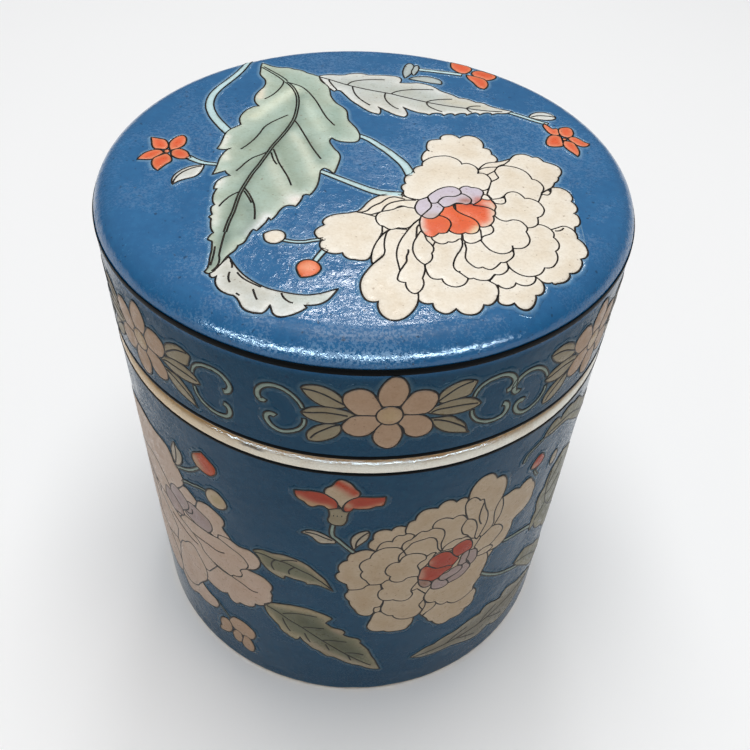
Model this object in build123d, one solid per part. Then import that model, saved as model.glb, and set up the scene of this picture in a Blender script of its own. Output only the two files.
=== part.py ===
"""Porcelain tea caddy: a straight-sided jar, an inner lid that closes its neck, and a cap lid over both.

Each piece is one fired body, turned about +Z. The origin is the centre of the foot, on the table.
"""

import os

from build123d import *

# Overall sizes, mm
OUTER_DIAMETER = 102.0
OVERALL_HEIGHT = 115.0
CAP_HEIGHT = 26.4  # the cap lid from its rim to its flat top

# Jar
JAR_WALL = 4.0
JAR_FLOOR = 4.5
FLOOR_CORNER_RADIUS = 5.0
FOOT_RING_WIDTH = 5.0
FOOT_RECESS = 2.2  # how far the base is hollowed inside the foot ring
FOOT_EDGE_RADIUS = 0.8
RECESS_CORNER_RADIUS = 1.2
SHOULDER_EDGE_RADIUS = 2.6
NECK_WALL = 3.2
NECK_RIM_RADIUS = 1.2
NECK_ROOT_RADIUS = 0.8
SHOULDER_THICKNESS = 4.0

# Cap lid
CAP_WALL = 3.6
CAP_TOP = 4.0
CAP_EDGE_RADIUS = 5.3
CAP_INSIDE_RADIUS = 3.0
CAP_RIM_RADIUS = 0.6
CAP_CLEARANCE = 0.8  # between the cap's inside and the neck

# Inner lid
DISC_THICKNESS = 3.0
DISC_EDGE_RADIUS = 1.2
DISC_SEAT_RADIUS = 0.5  # the disc's lower edge, small enough to leave it a flat seat on the rim
DISC_OVERHANG = 0.5  # how far the disc stands past the middle of the neck's rim
PLUG_DEPTH = 4.0
PLUG_WALL = 3.0
PLUG_EDGE_RADIUS = 0.8
PLUG_CLEARANCE = 0.8  # between the plug and the neck's bore
PLUG_HOLLOW = 2.5  # depth of the hollow under the disc
KNOB_HEIGHT = 8.0
KNOB_RADIUS = 8.0
KNOB_STEM_RADIUS = 4.5
KNOB_HEAD_HEIGHT = 4.6
KNOB_EDGE_RADIUS = 2.0
KNOB_ROOT_RADIUS = 1.5
KNOB_HEADROOM = 2.4  # between the knob and the cap's ceiling

# Places that follow from those sizes
OUTER_RADIUS = OUTER_DIAMETER / 2
SHOULDER_Z = OVERALL_HEIGHT - CAP_HEIGHT  # the cap's rim rests here
FLOOR_Z = FOOT_RECESS + JAR_FLOOR
JAR_BORE = OUTER_RADIUS - JAR_WALL
CAP_BORE = OUTER_RADIUS - CAP_WALL
NECK_RADIUS = CAP_BORE - CAP_CLEARANCE
NECK_BORE = NECK_RADIUS - NECK_WALL
FOOT_BORE = OUTER_RADIUS - FOOT_RING_WIDTH
PLUG_RADIUS = NECK_BORE - PLUG_CLEARANCE
DISC_RADIUS = (NECK_BORE + NECK_RADIUS) / 2 + DISC_OVERHANG
CEILING_Z = OVERALL_HEIGHT - CAP_TOP  # inside the cap
KNOB_TOP_Z = CEILING_Z - KNOB_HEADROOM  # the neck is as tall as leaves room for the inner lid
DISC_TOP_Z = KNOB_TOP_Z - KNOB_HEIGHT
NECK_TOP_Z = DISC_TOP_Z - DISC_THICKNESS


def turned(*corners):
    """The solid that a closed profile sweeps about Z. A corner is (radius, height, rounding)."""
    points = [(radius, 0, height) for radius, height, _ in corners]
    roundings = [rounding for _, _, rounding in corners]
    outline = FilletPolyline(*points, radius=roundings, close=True)
    return revolve(make_face(outline), axis=Axis.Z)


def make_jar():
    """The jar: foot ring, straight wall, rounded shoulder, and the neck that the cap slides over."""
    slope_drop = JAR_BORE - NECK_BORE  # the shoulder's underside falls away at 45 degrees
    under_neck_z = SHOULDER_Z - SHOULDER_THICKNESS
    return turned(
        (0, FOOT_RECESS, 0),
        (FOOT_BORE, FOOT_RECESS, RECESS_CORNER_RADIUS),
        (FOOT_BORE, 0, FOOT_EDGE_RADIUS),
        (OUTER_RADIUS, 0, FOOT_EDGE_RADIUS),
        (OUTER_RADIUS, SHOULDER_Z, SHOULDER_EDGE_RADIUS),
        (NECK_RADIUS, SHOULDER_Z, NECK_ROOT_RADIUS),
        (NECK_RADIUS, NECK_TOP_Z, NECK_RIM_RADIUS),
        (NECK_BORE, NECK_TOP_Z, NECK_RIM_RADIUS),
        (NECK_BORE, under_neck_z, 0),
        (JAR_BORE, under_neck_z - slope_drop, 0),
        (JAR_BORE, FLOOR_Z, FLOOR_CORNER_RADIUS),
        (0, FLOOR_Z, 0),
    )


def make_cap_lid():
    """The cap lid: a flat top with a rounded edge, and a skirt that comes down to the shoulder."""
    return turned(
        (0, OVERALL_HEIGHT, 0),
        (OUTER_RADIUS, OVERALL_HEIGHT, CAP_EDGE_RADIUS),
        (OUTER_RADIUS, SHOULDER_Z, CAP_RIM_RADIUS),
        (CAP_BORE, SHOULDER_Z, CAP_RIM_RADIUS),
        (CAP_BORE, CEILING_Z, CAP_INSIDE_RADIUS),
        (0, CEILING_Z, 0),
    )


def make_inner_lid():
    """The inner lid: a disc on the neck's rim, a ring that drops into the neck, and a turned knob."""
    plug_z = NECK_TOP_Z - PLUG_DEPTH
    hollow_z = plug_z + PLUG_HOLLOW
    head_z = KNOB_TOP_Z - KNOB_HEAD_HEIGHT
    return turned(
        (0, hollow_z, 0),
        (PLUG_RADIUS - PLUG_WALL, hollow_z, PLUG_EDGE_RADIUS),
        (PLUG_RADIUS - PLUG_WALL, plug_z, PLUG_EDGE_RADIUS),
        (PLUG_RADIUS, plug_z, PLUG_EDGE_RADIUS),
        (PLUG_RADIUS, NECK_TOP_Z, 0),
        (DISC_RADIUS, NECK_TOP_Z, DISC_SEAT_RADIUS),
        (DISC_RADIUS, DISC_TOP_Z, DISC_EDGE_RADIUS),
        (KNOB_STEM_RADIUS, DISC_TOP_Z, KNOB_ROOT_RADIUS),
        (KNOB_STEM_RADIUS, head_z, 0),
        (KNOB_RADIUS, head_z, KNOB_EDGE_RADIUS),
        (KNOB_RADIUS, KNOB_TOP_Z, KNOB_EDGE_RADIUS),
        (0, KNOB_TOP_Z, 0),
    )


PIECES = {
    "jar": make_jar,
    "inner_lid": make_inner_lid,
    "cap_lid": make_cap_lid,
}

os.makedirs("parts", exist_ok=True)
for name, make in PIECES.items():
    export_step(make(), f"parts/{name}.step")
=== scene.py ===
import math

import bmesh
import bpy
from mathutils import Matrix, Vector, geometry, kdtree


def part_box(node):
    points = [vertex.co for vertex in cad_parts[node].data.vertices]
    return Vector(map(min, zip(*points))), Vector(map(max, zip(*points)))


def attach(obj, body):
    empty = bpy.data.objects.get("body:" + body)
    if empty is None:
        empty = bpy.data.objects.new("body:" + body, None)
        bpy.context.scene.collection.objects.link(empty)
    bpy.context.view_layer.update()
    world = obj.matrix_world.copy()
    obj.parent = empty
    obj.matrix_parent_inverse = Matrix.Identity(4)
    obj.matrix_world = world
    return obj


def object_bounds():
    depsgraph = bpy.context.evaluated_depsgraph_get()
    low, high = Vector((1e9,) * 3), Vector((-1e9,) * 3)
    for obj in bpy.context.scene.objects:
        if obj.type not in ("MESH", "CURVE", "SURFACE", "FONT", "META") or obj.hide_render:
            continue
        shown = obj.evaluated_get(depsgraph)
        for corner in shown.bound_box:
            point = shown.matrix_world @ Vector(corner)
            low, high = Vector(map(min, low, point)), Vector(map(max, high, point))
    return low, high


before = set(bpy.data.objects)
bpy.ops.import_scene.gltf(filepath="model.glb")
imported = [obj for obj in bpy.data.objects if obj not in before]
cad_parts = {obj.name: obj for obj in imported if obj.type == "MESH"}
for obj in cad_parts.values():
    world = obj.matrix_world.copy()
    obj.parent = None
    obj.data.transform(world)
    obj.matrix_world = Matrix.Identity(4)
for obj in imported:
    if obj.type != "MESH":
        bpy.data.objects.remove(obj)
cad_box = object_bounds()

# ---------------------------------------------------------------------------------------------
# The place the caddy stands in: a plain pale floor, soft studio light from above, in front and
# behind, and a camera that looks down at the lid from the front.
FLOOR_REACH = 3.0  # m from the middle of the floor to its sides

scene = bpy.context.scene
scene.view_settings.view_transform = "Standard"
box_low, box_high = (Vector(corner) for corner in cad_box)
middle = (box_low + box_high) / 2


def camera_at(distance, elevation, pitch, yaw, roll, lens):
    """A camera in front of the caddy, aimed at its middle and then turned by small angles."""
    rise = math.radians(elevation)
    place = middle + Vector((0, -math.cos(rise), math.sin(rise))) * distance
    aim = Matrix.Rotation(math.radians(90 - elevation - pitch), 4, "X")
    swing = Matrix.Rotation(math.radians(-yaw), 4, "Y") @ Matrix.Rotation(math.radians(roll), 4, "Z")
    data = bpy.data.cameras.new("camera")
    data.lens = lens
    data.clip_start = 0.01
    camera = bpy.data.objects.new("camera", data)
    camera.matrix_world = Matrix.Translation(place) @ aim @ swing
    scene.collection.objects.link(camera)
    return camera


scene.camera = camera_at(distance=0.2008, elevation=45.63, pitch=-0.04, yaw=1.09, roll=2.28, lens=40.56)


def soft_light(name, place, size, watts, colour=(1, 1, 1)):
    """A rectangular light that faces the caddy."""
    data = bpy.data.lights.new(name, "AREA")
    data.shape = "RECTANGLE"
    data.size, data.size_y = size
    data.energy = watts
    data.color = colour
    light = bpy.data.objects.new(name, data)
    light.location = place
    light.rotation_euler = (middle - Vector(place)).to_track_quat("-Z", "Y").to_euler()
    scene.collection.objects.link(light)
    return light


# These two light the caddy and leave no glint on it
overhead = soft_light("overhead", (0.0, 0.12, 1.3), (0.9, 0.8), 3.5)
front_fill = soft_light("front_fill", (0.0, -1.3, 0.8), (1.4, 0.8), 3.0)
for light in (overhead, front_fill):
    light.visible_glossy = False
soft_light("overhead_glint", (0.0, 0.12, 1.3), (0.9, 0.8), 11.0)
soft_light("window", (0.03, 1.0, 1.12), (0.26, 0.14), 1.7)
# The strip gives only the glint along the lid's front edge
front_strip = soft_light("front_strip", (0.0, -1.2, 0.55), (3.4, 0.15), 44.0, (0.62, 0.84, 1.0))
front_strip.visible_diffuse = False

world = bpy.data.worlds.new("studio")
scene.world = world
world.use_nodes = True
world.node_tree.nodes["Background"].inputs["Color"].default_value = (0.95, 0.97, 1.0, 1)
world.node_tree.nodes["Background"].inputs["Strength"].default_value = 0.12


def new_material(name):
    """A new material, its node tree and its shader."""
    material = bpy.data.materials.new(name)
    material.use_nodes = True
    return material, material.node_tree, material.node_tree.nodes["Principled BSDF"]


floor_mesh = bpy.data.meshes.new("floor")
corners = [(x * FLOOR_REACH, y * FLOOR_REACH, 0) for x, y in ((-1, -1), (1, -1), (1, 1), (-1, 1))]
floor_mesh.from_pydata(corners, [], [(0, 1, 2, 3)])
floor = bpy.data.objects.new("floor", floor_mesh)
scene.collection.objects.link(floor)
floor_finish, _, shader = new_material("floor")
shader.inputs["Base Color"].default_value = (0.97, 0.97, 0.97, 1)
shader.inputs["Roughness"].default_value = 0.9
floor_mesh.materials.append(floor_finish)

# ---------------------------------------------------------------------------------------------
# The porcelain itself: blue glaze outside, and clear glaze over the cream body inside, on the neck
# and on the jar's shoulder. The rims that rest on each other and the foot are wiped bare and tan.
OUTER_FACE = 0.0488  # m from the axis: past this a surface is the outer wall
LID_FACE = 0.1125  # m up: above this it is the lid's top
EDGE_LOW, EDGE_HIGH = 0.1090, 0.1140  # m up: here the walls' darker blue, which is painted shade, turns into the top's blue
SHOULDER_CREAM = 0.08  # m up: above this, what isn't blue outside is the shoulder's cream
CHIP = (-0.0181, -0.0477, 0.0872)  # m: a chipped line along the front of the shoulder


def paint(red, green, blue):
    """A glaze colour, given the way a colour chart gives it, as the renderer's linear colour."""
    return tuple(((v / 255 + 0.055) / 1.055) ** 2.4 if v > 10 else v / 255 / 12.92
                 for v in (red, green, blue)) + (1.0,)


def feed(tree, socket, value):
    """Gives a socket a number or a colour, or links a node's output to it."""
    if hasattr(value, "links"):
        tree.links.new(value, socket)
    elif value is not None:
        socket.default_value = value


def math_node(tree, operation, a, b=None):
    """One step of arithmetic on numbers or outputs."""
    node = tree.nodes.new("ShaderNodeMath")
    node.operation = operation
    feed(tree, node.inputs[0], a)
    feed(tree, node.inputs[1], b)
    return node.outputs[0]


def texture(tree, scale, detail=2.0, roughness=0.5):
    """A cloudy solid pattern fixed to the piece, as a number from 0 to 1."""
    node = tree.nodes.new("ShaderNodeTexNoise")
    node.inputs["Scale"].default_value = scale
    node.inputs["Detail"].default_value = detail
    node.inputs["Roughness"].default_value = roughness
    tree.links.new(tree.nodes.new("ShaderNodeTexCoord").outputs["Object"], node.inputs["Vector"])
    return node.outputs[0]


def ranged(tree, value, low, high, to_low=0.0, to_high=1.0):
    """The value mapped from low..high onto to_low..to_high, smoothly and held at both ends."""
    node = tree.nodes.new("ShaderNodeMapRange")
    node.interpolation_type = "SMOOTHSTEP"
    feed(tree, node.inputs["Value"], value)
    for label, number in (("From Min", low), ("From Max", high), ("To Min", to_low), ("To Max", to_high)):
        node.inputs[label].default_value = number
    return node.outputs[0]


def blend(tree, amount, first, second, how="MIX"):
    """Two colours, or colour outputs, mixed by an amount."""
    node = tree.nodes.new("ShaderNodeMix")
    node.data_type = "RGBA"
    node.blend_type = how
    for place, value in ((0, amount), (6, first), (7, second)):  # the colour mix's own sockets
        feed(tree, node.inputs[place], value)
    return node.outputs[2]


def flecked(tree, colour, fleck, strength, pattern, span, how="MIX"):
    """The colour with another let in where a pattern (scale, detail, roughness) rises through a span."""
    amount = math_node(tree, "MULTIPLY", ranged(tree, texture(tree, *pattern), *span), strength)
    return blend(tree, amount, colour, fleck, how)


def relief(tree, height, strength, distance):
    """The shader's normal, bumped by a height."""
    node = tree.nodes.new("ShaderNodeBump")
    node.inputs["Strength"].default_value = strength
    node.inputs["Distance"].default_value = distance
    tree.links.new(height, node.inputs["Height"])
    return node.outputs[0]


def place_on_piece(tree):
    """Where a point of the surface is: the point, and its X, Y and Z."""
    point = tree.nodes.new("ShaderNodeTexCoord").outputs["Object"]
    apart = tree.nodes.new("ShaderNodeSeparateXYZ")
    tree.links.new(point, apart.inputs[0])
    return point, *apart.outputs


def blue_ground(tree, height):
    """The blue glaze, mottled: its own blue on the flat top, and down the walls a darker, duller blue that
    is painted shade.
    """
    # The same glaze all over: the walls' darker blue is painted shade for the walls, which stand in shade
    ground = blend(tree, ranged(tree, height, EDGE_LOW, EDGE_HIGH), paint(24, 67, 94), paint(48, 104, 152))
    edge_band = math_node(tree, "MULTIPLY", ranged(tree, height, 0.1080, 0.1105),  # round the lid's edge
                       ranged(tree, height, 0.1115, 0.1148, 1.0, 0.0))
    ground = blend(tree, math_node(tree, "MULTIPLY", edge_band, 0.8), ground, paint(12, 100, 156))
    for tint, strength, pattern, span in (
            ((0.76, 0.83, 0.86, 1), 0.6, (55, 4, 0.6), (0.3, 0.75)),  # clouds
            ((1.65, 1.6, 1.45, 1), 0.3, (700, 4, 0.65), (0.35, 0.72)),  # mottling
            ((2.1, 1.9, 1.65, 1), 0.4, (1500, 2, 0.6), (0.66, 0.74))):  # pale flecks
        ground = flecked(tree, ground, tint, strength, pattern, span, "MULTIPLY")
    return flecked(tree, ground, paint(22, 44, 70), 0.6, (1150, 1, 0.5), (0.70, 0.76))  # dark dots


def shine(tree, shader, height, bare, white):
    """A hard gloss broken by fine crystals in the glaze, a slow waviness, and orange peel.

    It is weak on the blue wall, stronger on the top and on white glaze, and dull on bare clay.
    """
    link = tree.links.new
    patches = ranged(tree, texture(tree, 75, 3, 0.6), 0.4, 0.65)
    crystals = ranged(tree, texture(tree, 2100, 3, 0.7), 0.42, 0.62)
    dulled = math_node(tree, "MULTIPLY", math_node(tree, "ADD", patches, 0.25), crystals)
    rough = tree.nodes.new("ShaderNodeMix")
    glaze_rough, clay_rough = ranged(tree, dulled, 0.0, 1.0, 0.13, 0.46), 0.7
    for place, value in ((0, bare), (2, glaze_rough), (3, clay_rough)):
        feed(tree, rough.inputs[place], value)
    link(rough.outputs[0], shader.inputs["Roughness"])
    level = ranged(tree, height, 0.1085, 0.1125, 0.1, 0.9)
    level = math_node(tree, "MAXIMUM", level, math_node(tree, "MULTIPLY", white, 0.8))
    link(level, shader.inputs["Specular IOR Level"])
    waves = math_node(tree, "MULTIPLY", texture(tree, 110, 2, 0.5), 2.2)
    fine = math_node(tree, "MULTIPLY", math_node(tree, "MULTIPLY", texture(tree, 2400, 2), patches), 0.35)
    peel = math_node(tree, "ADD", math_node(tree, "ADD", texture(tree, 520, 3, 0.6), waves), fine)
    link(relief(tree, peel, 0.7, 0.00016), shader.inputs["Normal"])


def between(tree, level, low, high):
    """1 between two heights and 0 beyond them, with edges about 0.3 mm soft."""
    below, above = 0.0001, 0.0002
    return math_node(tree, "MULTIPLY", ranged(tree, level, low - below, low + above),
                     ranged(tree, level, high - below, high + above, 1.0, 0.0))


def shoulder_cream(tree, point, x, level):
    """The cream body under clear glaze, with tea-brown stains, and a tan band towards the rims that is
    partly stain and partly painted shade under the lid's skirt.
    """
    cream = flecked(tree, paint(255, 250, 234), paint(196, 152, 92), 0.35, (130, 5, 0.65), (0.5, 0.75))
    cream = flecked(tree, cream, paint(112, 74, 40), 0.7, (520, 4, 0.7), (0.64, 0.72))
    cream = blend(tree, ranged(tree, x, -0.045, 0.0, 0.8, 0.0), cream, paint(220, 176, 106))
    from_chip = tree.nodes.new("ShaderNodeVectorMath")
    from_chip.operation = "DISTANCE"
    from_chip.inputs[1].default_value = CHIP
    tree.links.new(point, from_chip.inputs[0])
    off_line = math_node(tree, "ABSOLUTE", math_node(tree, "SUBTRACT", level, CHIP[2]))
    chip = math_node(tree, "MULTIPLY", ranged(tree, from_chip.outputs["Value"], 0.0012, 0.0030, 1.0, 0.0),
                     ranged(tree, off_line, 0.0001, 0.00045, 0.85, 0.0))
    cream = blend(tree, chip, cream, paint(58, 40, 26))
    # Tan by the joint under the lid: partly tea stain, partly painted shade from the lid's skirt above
    near_rim = math_node(tree, "MULTIPLY", ranged(tree, level, 0.0870, 0.0878), 0.85)
    return blend(tree, near_rim, cream, paint(200, 156, 94))


def glazed(name, blue_heights, bare_heights):
    """Porcelain with blue glaze outside between two heights, and bare clay between two others (m)."""
    material, tree, shader = new_material(name)
    point, x, y, height = place_on_piece(tree)
    squares = math_node(tree, "ADD", math_node(tree, "POWER", x, 2.0), math_node(tree, "POWER", y, 2.0))
    outside = math_node(tree, "GREATER_THAN", math_node(tree, "SQRT", squares), OUTER_FACE)
    outside = math_node(tree, "MAXIMUM", outside, math_node(tree, "GREATER_THAN", height, LID_FACE))
    wander = math_node(tree, "SUBTRACT", texture(tree, 120, 2), 0.5)
    level = math_node(tree, "ADD", height, math_node(tree, "MULTIPLY", wander, 0.0009))
    blue = math_node(tree, "MULTIPLY", between(tree, level, *blue_heights), outside)
    bare = between(tree, level, *bare_heights)
    cream = shoulder_cream(tree, point, x, level)
    clay = flecked(tree, paint(214, 186, 142), paint(150, 112, 70), 1.0, (480, 4, 0.6), (0.35, 0.7))
    inside = flecked(tree, paint(250, 247, 238), paint(240, 238, 228), 1.0, (90, 3), (0.4, 0.7))
    on_shoulder = ranged(tree, height, SHOULDER_CREAM, SHOULDER_CREAM + 0.0001)
    colour = blend(tree, math_node(tree, "MULTIPLY", outside, on_shoulder), inside, cream)
    colour = blend(tree, bare, colour, clay)
    colour = blend(tree, blue, colour, blue_ground(tree, height))
    tree.links.new(colour, shader.inputs["Base Color"])
    shine(tree, shader, height, bare, math_node(tree, "SUBTRACT", 1.0, blue))
    return material


finishes = {
    "jar": glazed("jar_glaze", (0.0007, 0.0851), (-0.001, 0.0006)),
    "cap_lid": glazed("cap_glaze", (0.0893, 0.2), (0.0, 0.0892)),
    "inner_lid": glazed("inner_lid_glaze", (-0.002, -0.001), (0.0, 0.0938)),
}
for node, material in finishes.items():
    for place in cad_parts[node].material_slots:
        place.material = material

# ---------------------------------------------------------------------------------------------
# Peony on the lid: thick opaque enamel laid petal over petal, each with a dark outline trailed
# on its edge. Fired onto the blue glaze, it stands a little proud and has softly rounded edges.

# The enamels: the colour in the middle of a patch, the colour at its edge, and how wide the edge is (mm)
ENAMELS = {
    "cream": (paint(238, 226, 206), paint(246, 240, 228), 1.6),
    "lilac": (paint(208, 196, 212), paint(214, 206, 214), 1.0),
    "orange": (paint(238, 102, 56), paint(236, 120, 76), 0.8),
    "coral": (paint(232, 98, 56), paint(246, 176, 136), 0.4),
    "green": (paint(170, 190, 176), paint(206, 220, 206), 1.6),
    "white": (paint(202, 207, 202), paint(242, 244, 240), 1.3),
    "turquoise": (paint(206, 234, 238), paint(190, 222, 228), 0.6),
    "grey": (paint(196, 206, 204), paint(170, 184, 186), 0.8),
    "sage": (paint(190, 190, 172), paint(196, 196, 180), 1.0),
    "pale": (paint(192, 228, 234), paint(176, 214, 222), 0.5),
    "leaf": (paint(140, 152, 134), paint(196, 198, 178), 1.0),
    "ash": (paint(158, 166, 162), paint(224, 228, 222), 0.9),
    "blush": (paint(228, 204, 184), paint(232, 212, 196), 1.4),
    "pink": (paint(246, 230, 224), paint(250, 240, 236), 1.4),
    "red": (paint(214, 88, 70), paint(226, 110, 84), 0.8),
}
LINE_STEP = 0.35  # mm between the points of a drawn line
EDGE_PROUD = 0.05  # mm that a patch's edge stands off the glaze
SWELL = 0.09  # mm more in its middle
SWELL_REACH = 0.7  # mm in which it swells
RIM_PROUD = 0.035  # mm that the pale rim stands off beside the patch
RIM_SINKS = 0.9  # mm out, where it goes under the glaze
RIM_ENDS = 1.5  # mm out, where its mesh ends
RIM_FADE = 0.55  # mm in which its colour fades
ENAMEL_BACK = 0.0002  # m of thickness under an enamel's face, most of it sunk in the glaze
BEAD_HEIGHT = 0.00012  # m across a trailed line, up and down
LID_LINE = 0.00037  # m across, side to side
LID_GRID = 0.6  # mm between the points inside a patch
LID_EDGE = 0.0053  # m: the radius of the lid's rounded edge

_, cap_high = (Vector(corner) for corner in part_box("cap_lid"))
wall_radius = cap_high.x
lid_top = cap_high.z


def drawn(text, closed=True):
    """A smooth line through points given (mm). A point with ! is a sharp corner."""
    marks = text.split()
    spots = [Vector([float(v) for v in mark.rstrip("!").split(",")]) for mark in marks]
    sharp = [mark.endswith("!") for mark in marks]
    if not closed:
        sharp[0] = sharp[-1] = True
    count = len(spots)
    line = []
    for i in range(count if closed else count - 1):
        j = (i + 1) % count
        a, b = spots[i], spots[j]
        chord = b - a
        leave = (b - spots[i - 1]).normalized() * chord.length
        arrive = (spots[(j + 1) % count] - a).normalized() * chord.length
        if sharp[i]:
            leave = chord if sharp[j] else 2 * chord - arrive
        if sharp[j]:
            arrive = chord if sharp[i] else 2 * chord - leave
        steps = max(1, round(chord.length / LINE_STEP))
        for k in range(steps):
            t = k / steps
            line.append(a * (1 + 2 * t) * (1 - t) ** 2 + leave * t * (1 - t) ** 2
                        + b * t * t * (3 - 2 * t) + arrive * t * t * (t - 1))
    if not closed:
        line.append(spots[-1])
    return line


def band(text, width):
    """The closed outline of a stem: a smooth line with a width (mm), or a width at each end."""
    line = drawn(text, closed=False)
    first, last = width if isinstance(width, tuple) else (width, width)
    left, right = [], []
    for i, spot in enumerate(line):
        on = line[min(i + 1, len(line) - 1)] - line[max(i - 1, 0)]
        half = (first + (last - first) * i / (len(line) - 1)) / 2
        side = Vector((-on.y, on.x)).normalized() * half
        left.append(spot + side)
        right.append(spot - side)
    return left + right[::-1]


def laid_out(drawing):
    """A drawing's points, the edges of its strokes, the outlines of its patches and their washes.

    Each edge and outline comes with its place in the drawing, and the washes are kept by patch.
    """
    spots, strokes, patches, washes = [], [], [], {}
    for order, (kind, path, *more) in enumerate(drawing):
        if kind == "wash":
            washes.setdefault(patches[-1][1], []).append((drawn(path, closed=False), *more))
            continue
        start = len(spots)
        if kind in ("line", "vein"):
            line = band(path, *more) if kind == "vein" else drawn(path, closed=False)
            gap = len(line) // 2 - 1 if kind == "vein" else None  # a vein is two strokes side by side
            strokes += [((start + k, start + k + 1), order) for k in range(len(line) - 1) if k != gap]
        else:
            line = band(path, *more) if more else drawn(path)
            if sum(line[k - 1].x * line[k].y - line[k].x * line[k - 1].y for k in range(len(line))) < 0:
                line.reverse()
            patches.append((list(range(start, start + len(line))), order))
        spots += line
    return spots, strokes, patches, washes


def finder(spots):
    """Finds the nearest of some points."""
    found = kdtree.KDTree(len(spots))
    for i, spot in enumerate(spots):
        found.insert((spot.x, spot.y, 0), i)
    found.balance()
    return found


def filling(spots, grid):
    """Points in staggered rows between the drawn ones, so that a patch can swell in its middle."""
    near_drawn = finder(spots)
    low_x, high_x = min(s.x for s in spots), max(s.x for s in spots)
    low_y, high_y = min(s.y for s in spots), max(s.y for s in spots)
    inner = []
    row = 0
    y = low_y
    while y < high_y:
        x = low_x + (row % 2) * grid / 2
        while x < high_x:
            if near_drawn.find((x, y, 0))[2] > grid * 0.55:
                inner.append(Vector((x, y)))
            x += grid
        y += grid * 0.866  # the height of an equal-sided triangle
        row += 1
    return inner


def flat_mesh(name, spots, heights, edges=(), faces=()):
    """A mesh of flat points with a height each, both in mm."""
    mesh = bpy.data.meshes.new(name)
    mesh.from_pydata([(s.x / 1000, s.y / 1000, h / 1000) for s, h in zip(spots, heights)], edges, faces)
    return mesh


def drop_loose(mesh):
    """Takes away the points that no face uses."""
    shape = bmesh.new()
    shape.from_mesh(mesh)
    bmesh.ops.delete(shape, geom=[v for v in shape.verts if not v.link_faces], context="VERTS")
    shape.to_mesh(mesh)
    shape.free()


def painted(drawing, grid):
    """Patches of enamel, later ones over earlier ones, as one flat sheet with its height in Z.

    Returns the sheet, the lines that outline it, and a rim of paler glaze round it. A drawing is a
    list of (enamel, outline), (enamel, path, width) for a stem, ("line", path) for a stroke on the
    patch before it, ("vein", path, width) for a double one, and ("wash", path, reach, colour,
    strength) for colour let into that patch.
    """
    spots, strokes, patches, washes = laid_out(drawing)
    spots += filling(spots, grid)
    spots, edges, faces, _, edge_from, face_from = geometry.delaunay_2d_cdt(
        spots, [edge for edge, _ in strokes], [loop for loop, _ in patches], 0, 1e-4)
    top = [patches[max(ids)][1] if ids else -1 for ids in face_from]  # the patch on top, or -1 beyond

    beside = {}
    for face, level in zip(faces, top):
        for k in range(3):
            beside.setdefault(frozenset((face[k], face[k - 1])), []).append(level)
    rims, seen = [], []  # the edges of what shows of each patch, and the strokes that no patch hides
    for edge, sources in zip(edges, edge_from):
        one, other = (beside[frozenset(edge)] + [-1])[:2]
        if one != other:
            rims.append(tuple(edge))
        elif sources and sources[0] < len(strokes) and one >= 0 and strokes[sources[0]][1] > one:
            seen.append(tuple(edge))

    near_rim = finder([(spots[a] + spots[b]) / 2 for a, b in rims])
    reach = [near_rim.find((s.x, s.y, 0))[2] for s in spots]
    on_rim = {i for edge in rims for i in edge}
    heights = [EDGE_PROUD if i in on_rim else EDGE_PROUD + SWELL - SWELL * math.exp(-r / SWELL_REACH)
               for i, r in enumerate(reach)]

    kept = [f for f in range(len(faces)) if top[f] >= 0]
    sheet = flat_mesh("sheet", spots, heights, faces=[tuple(faces[f]) for f in kept])
    colours = sheet.color_attributes.new("enamel", "FLOAT_COLOR", "CORNER")
    corner = 0
    for f in kept:
        inner, outer, width = ENAMELS[drawing[top[f]][0]]
        for i in faces[f]:
            mix = math.exp(-reach[i] / width)
            colour = [a + (b - a) * mix for a, b in zip(inner, outer)]
            for path, spread, tint, strength in washes.get(top[f], ()):
                near = min((s - spots[i]).length for s in path[::2])
                mix = strength * math.exp(-(near / spread) ** 2)
                colour = [a + (b - a) * mix for a, b in zip(colour, tint)]
            colours.data[corner].color = colour
            corner += 1

    beyond = [tuple(face) for face, level in zip(faces, top)
              if level < 0 and all(reach[i] < RIM_ENDS for i in face)]
    halo = flat_mesh("halo", spots, [RIM_PROUD - RIM_PROUD * r / RIM_SINKS for r in reach], faces=beyond)
    pale = halo.attributes.new("halo", "FLOAT", "POINT")
    for i, r in enumerate(reach):
        pale.data[i].value = math.exp(-(r / RIM_FADE) ** 2)
    for mesh in (sheet, halo):
        drop_loose(mesh)
    return sheet, flat_mesh("lines", spots, heights, edges=rims + seen), halo


def tree_of(name, **inputs):
    """An empty geometry tree with a geometry in and out, and other inputs of the types given."""
    tree = bpy.data.node_groups.new(name, "GeometryNodeTree")
    tree.interface.new_socket("Geometry", in_out="INPUT", socket_type="NodeSocketGeometry")
    for label, kind in inputs.items():
        tree.interface.new_socket(label, in_out="INPUT", socket_type="NodeSocket" + kind)
    tree.interface.new_socket("Geometry", in_out="OUTPUT", socket_type="NodeSocketGeometry")
    return tree, tree.nodes.new("NodeGroupInput"), tree.nodes.new("NodeGroupOutput")


def place_of_point(tree):
    """The X, Y and Z of every point of a mesh."""
    apart = tree.nodes.new("ShaderNodeSeparateXYZ")
    tree.links.new(tree.nodes.new("GeometryNodeInputPosition").outputs[0], apart.inputs[0])
    return apart.outputs


def move_points(tree, given, result, *place):
    """Ends a tree by moving every point to a new X, Y and Z."""
    to = tree.nodes.new("ShaderNodeCombineXYZ")
    for socket, value in zip(to.inputs, place):
        tree.links.new(value, socket)
    move = tree.nodes.new("GeometryNodeSetPosition")
    tree.links.new(given.outputs["Geometry"], move.inputs["Geometry"])
    tree.links.new(to.outputs[0], move.inputs["Position"])
    tree.links.new(move.outputs[0], result.inputs["Geometry"])


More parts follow.
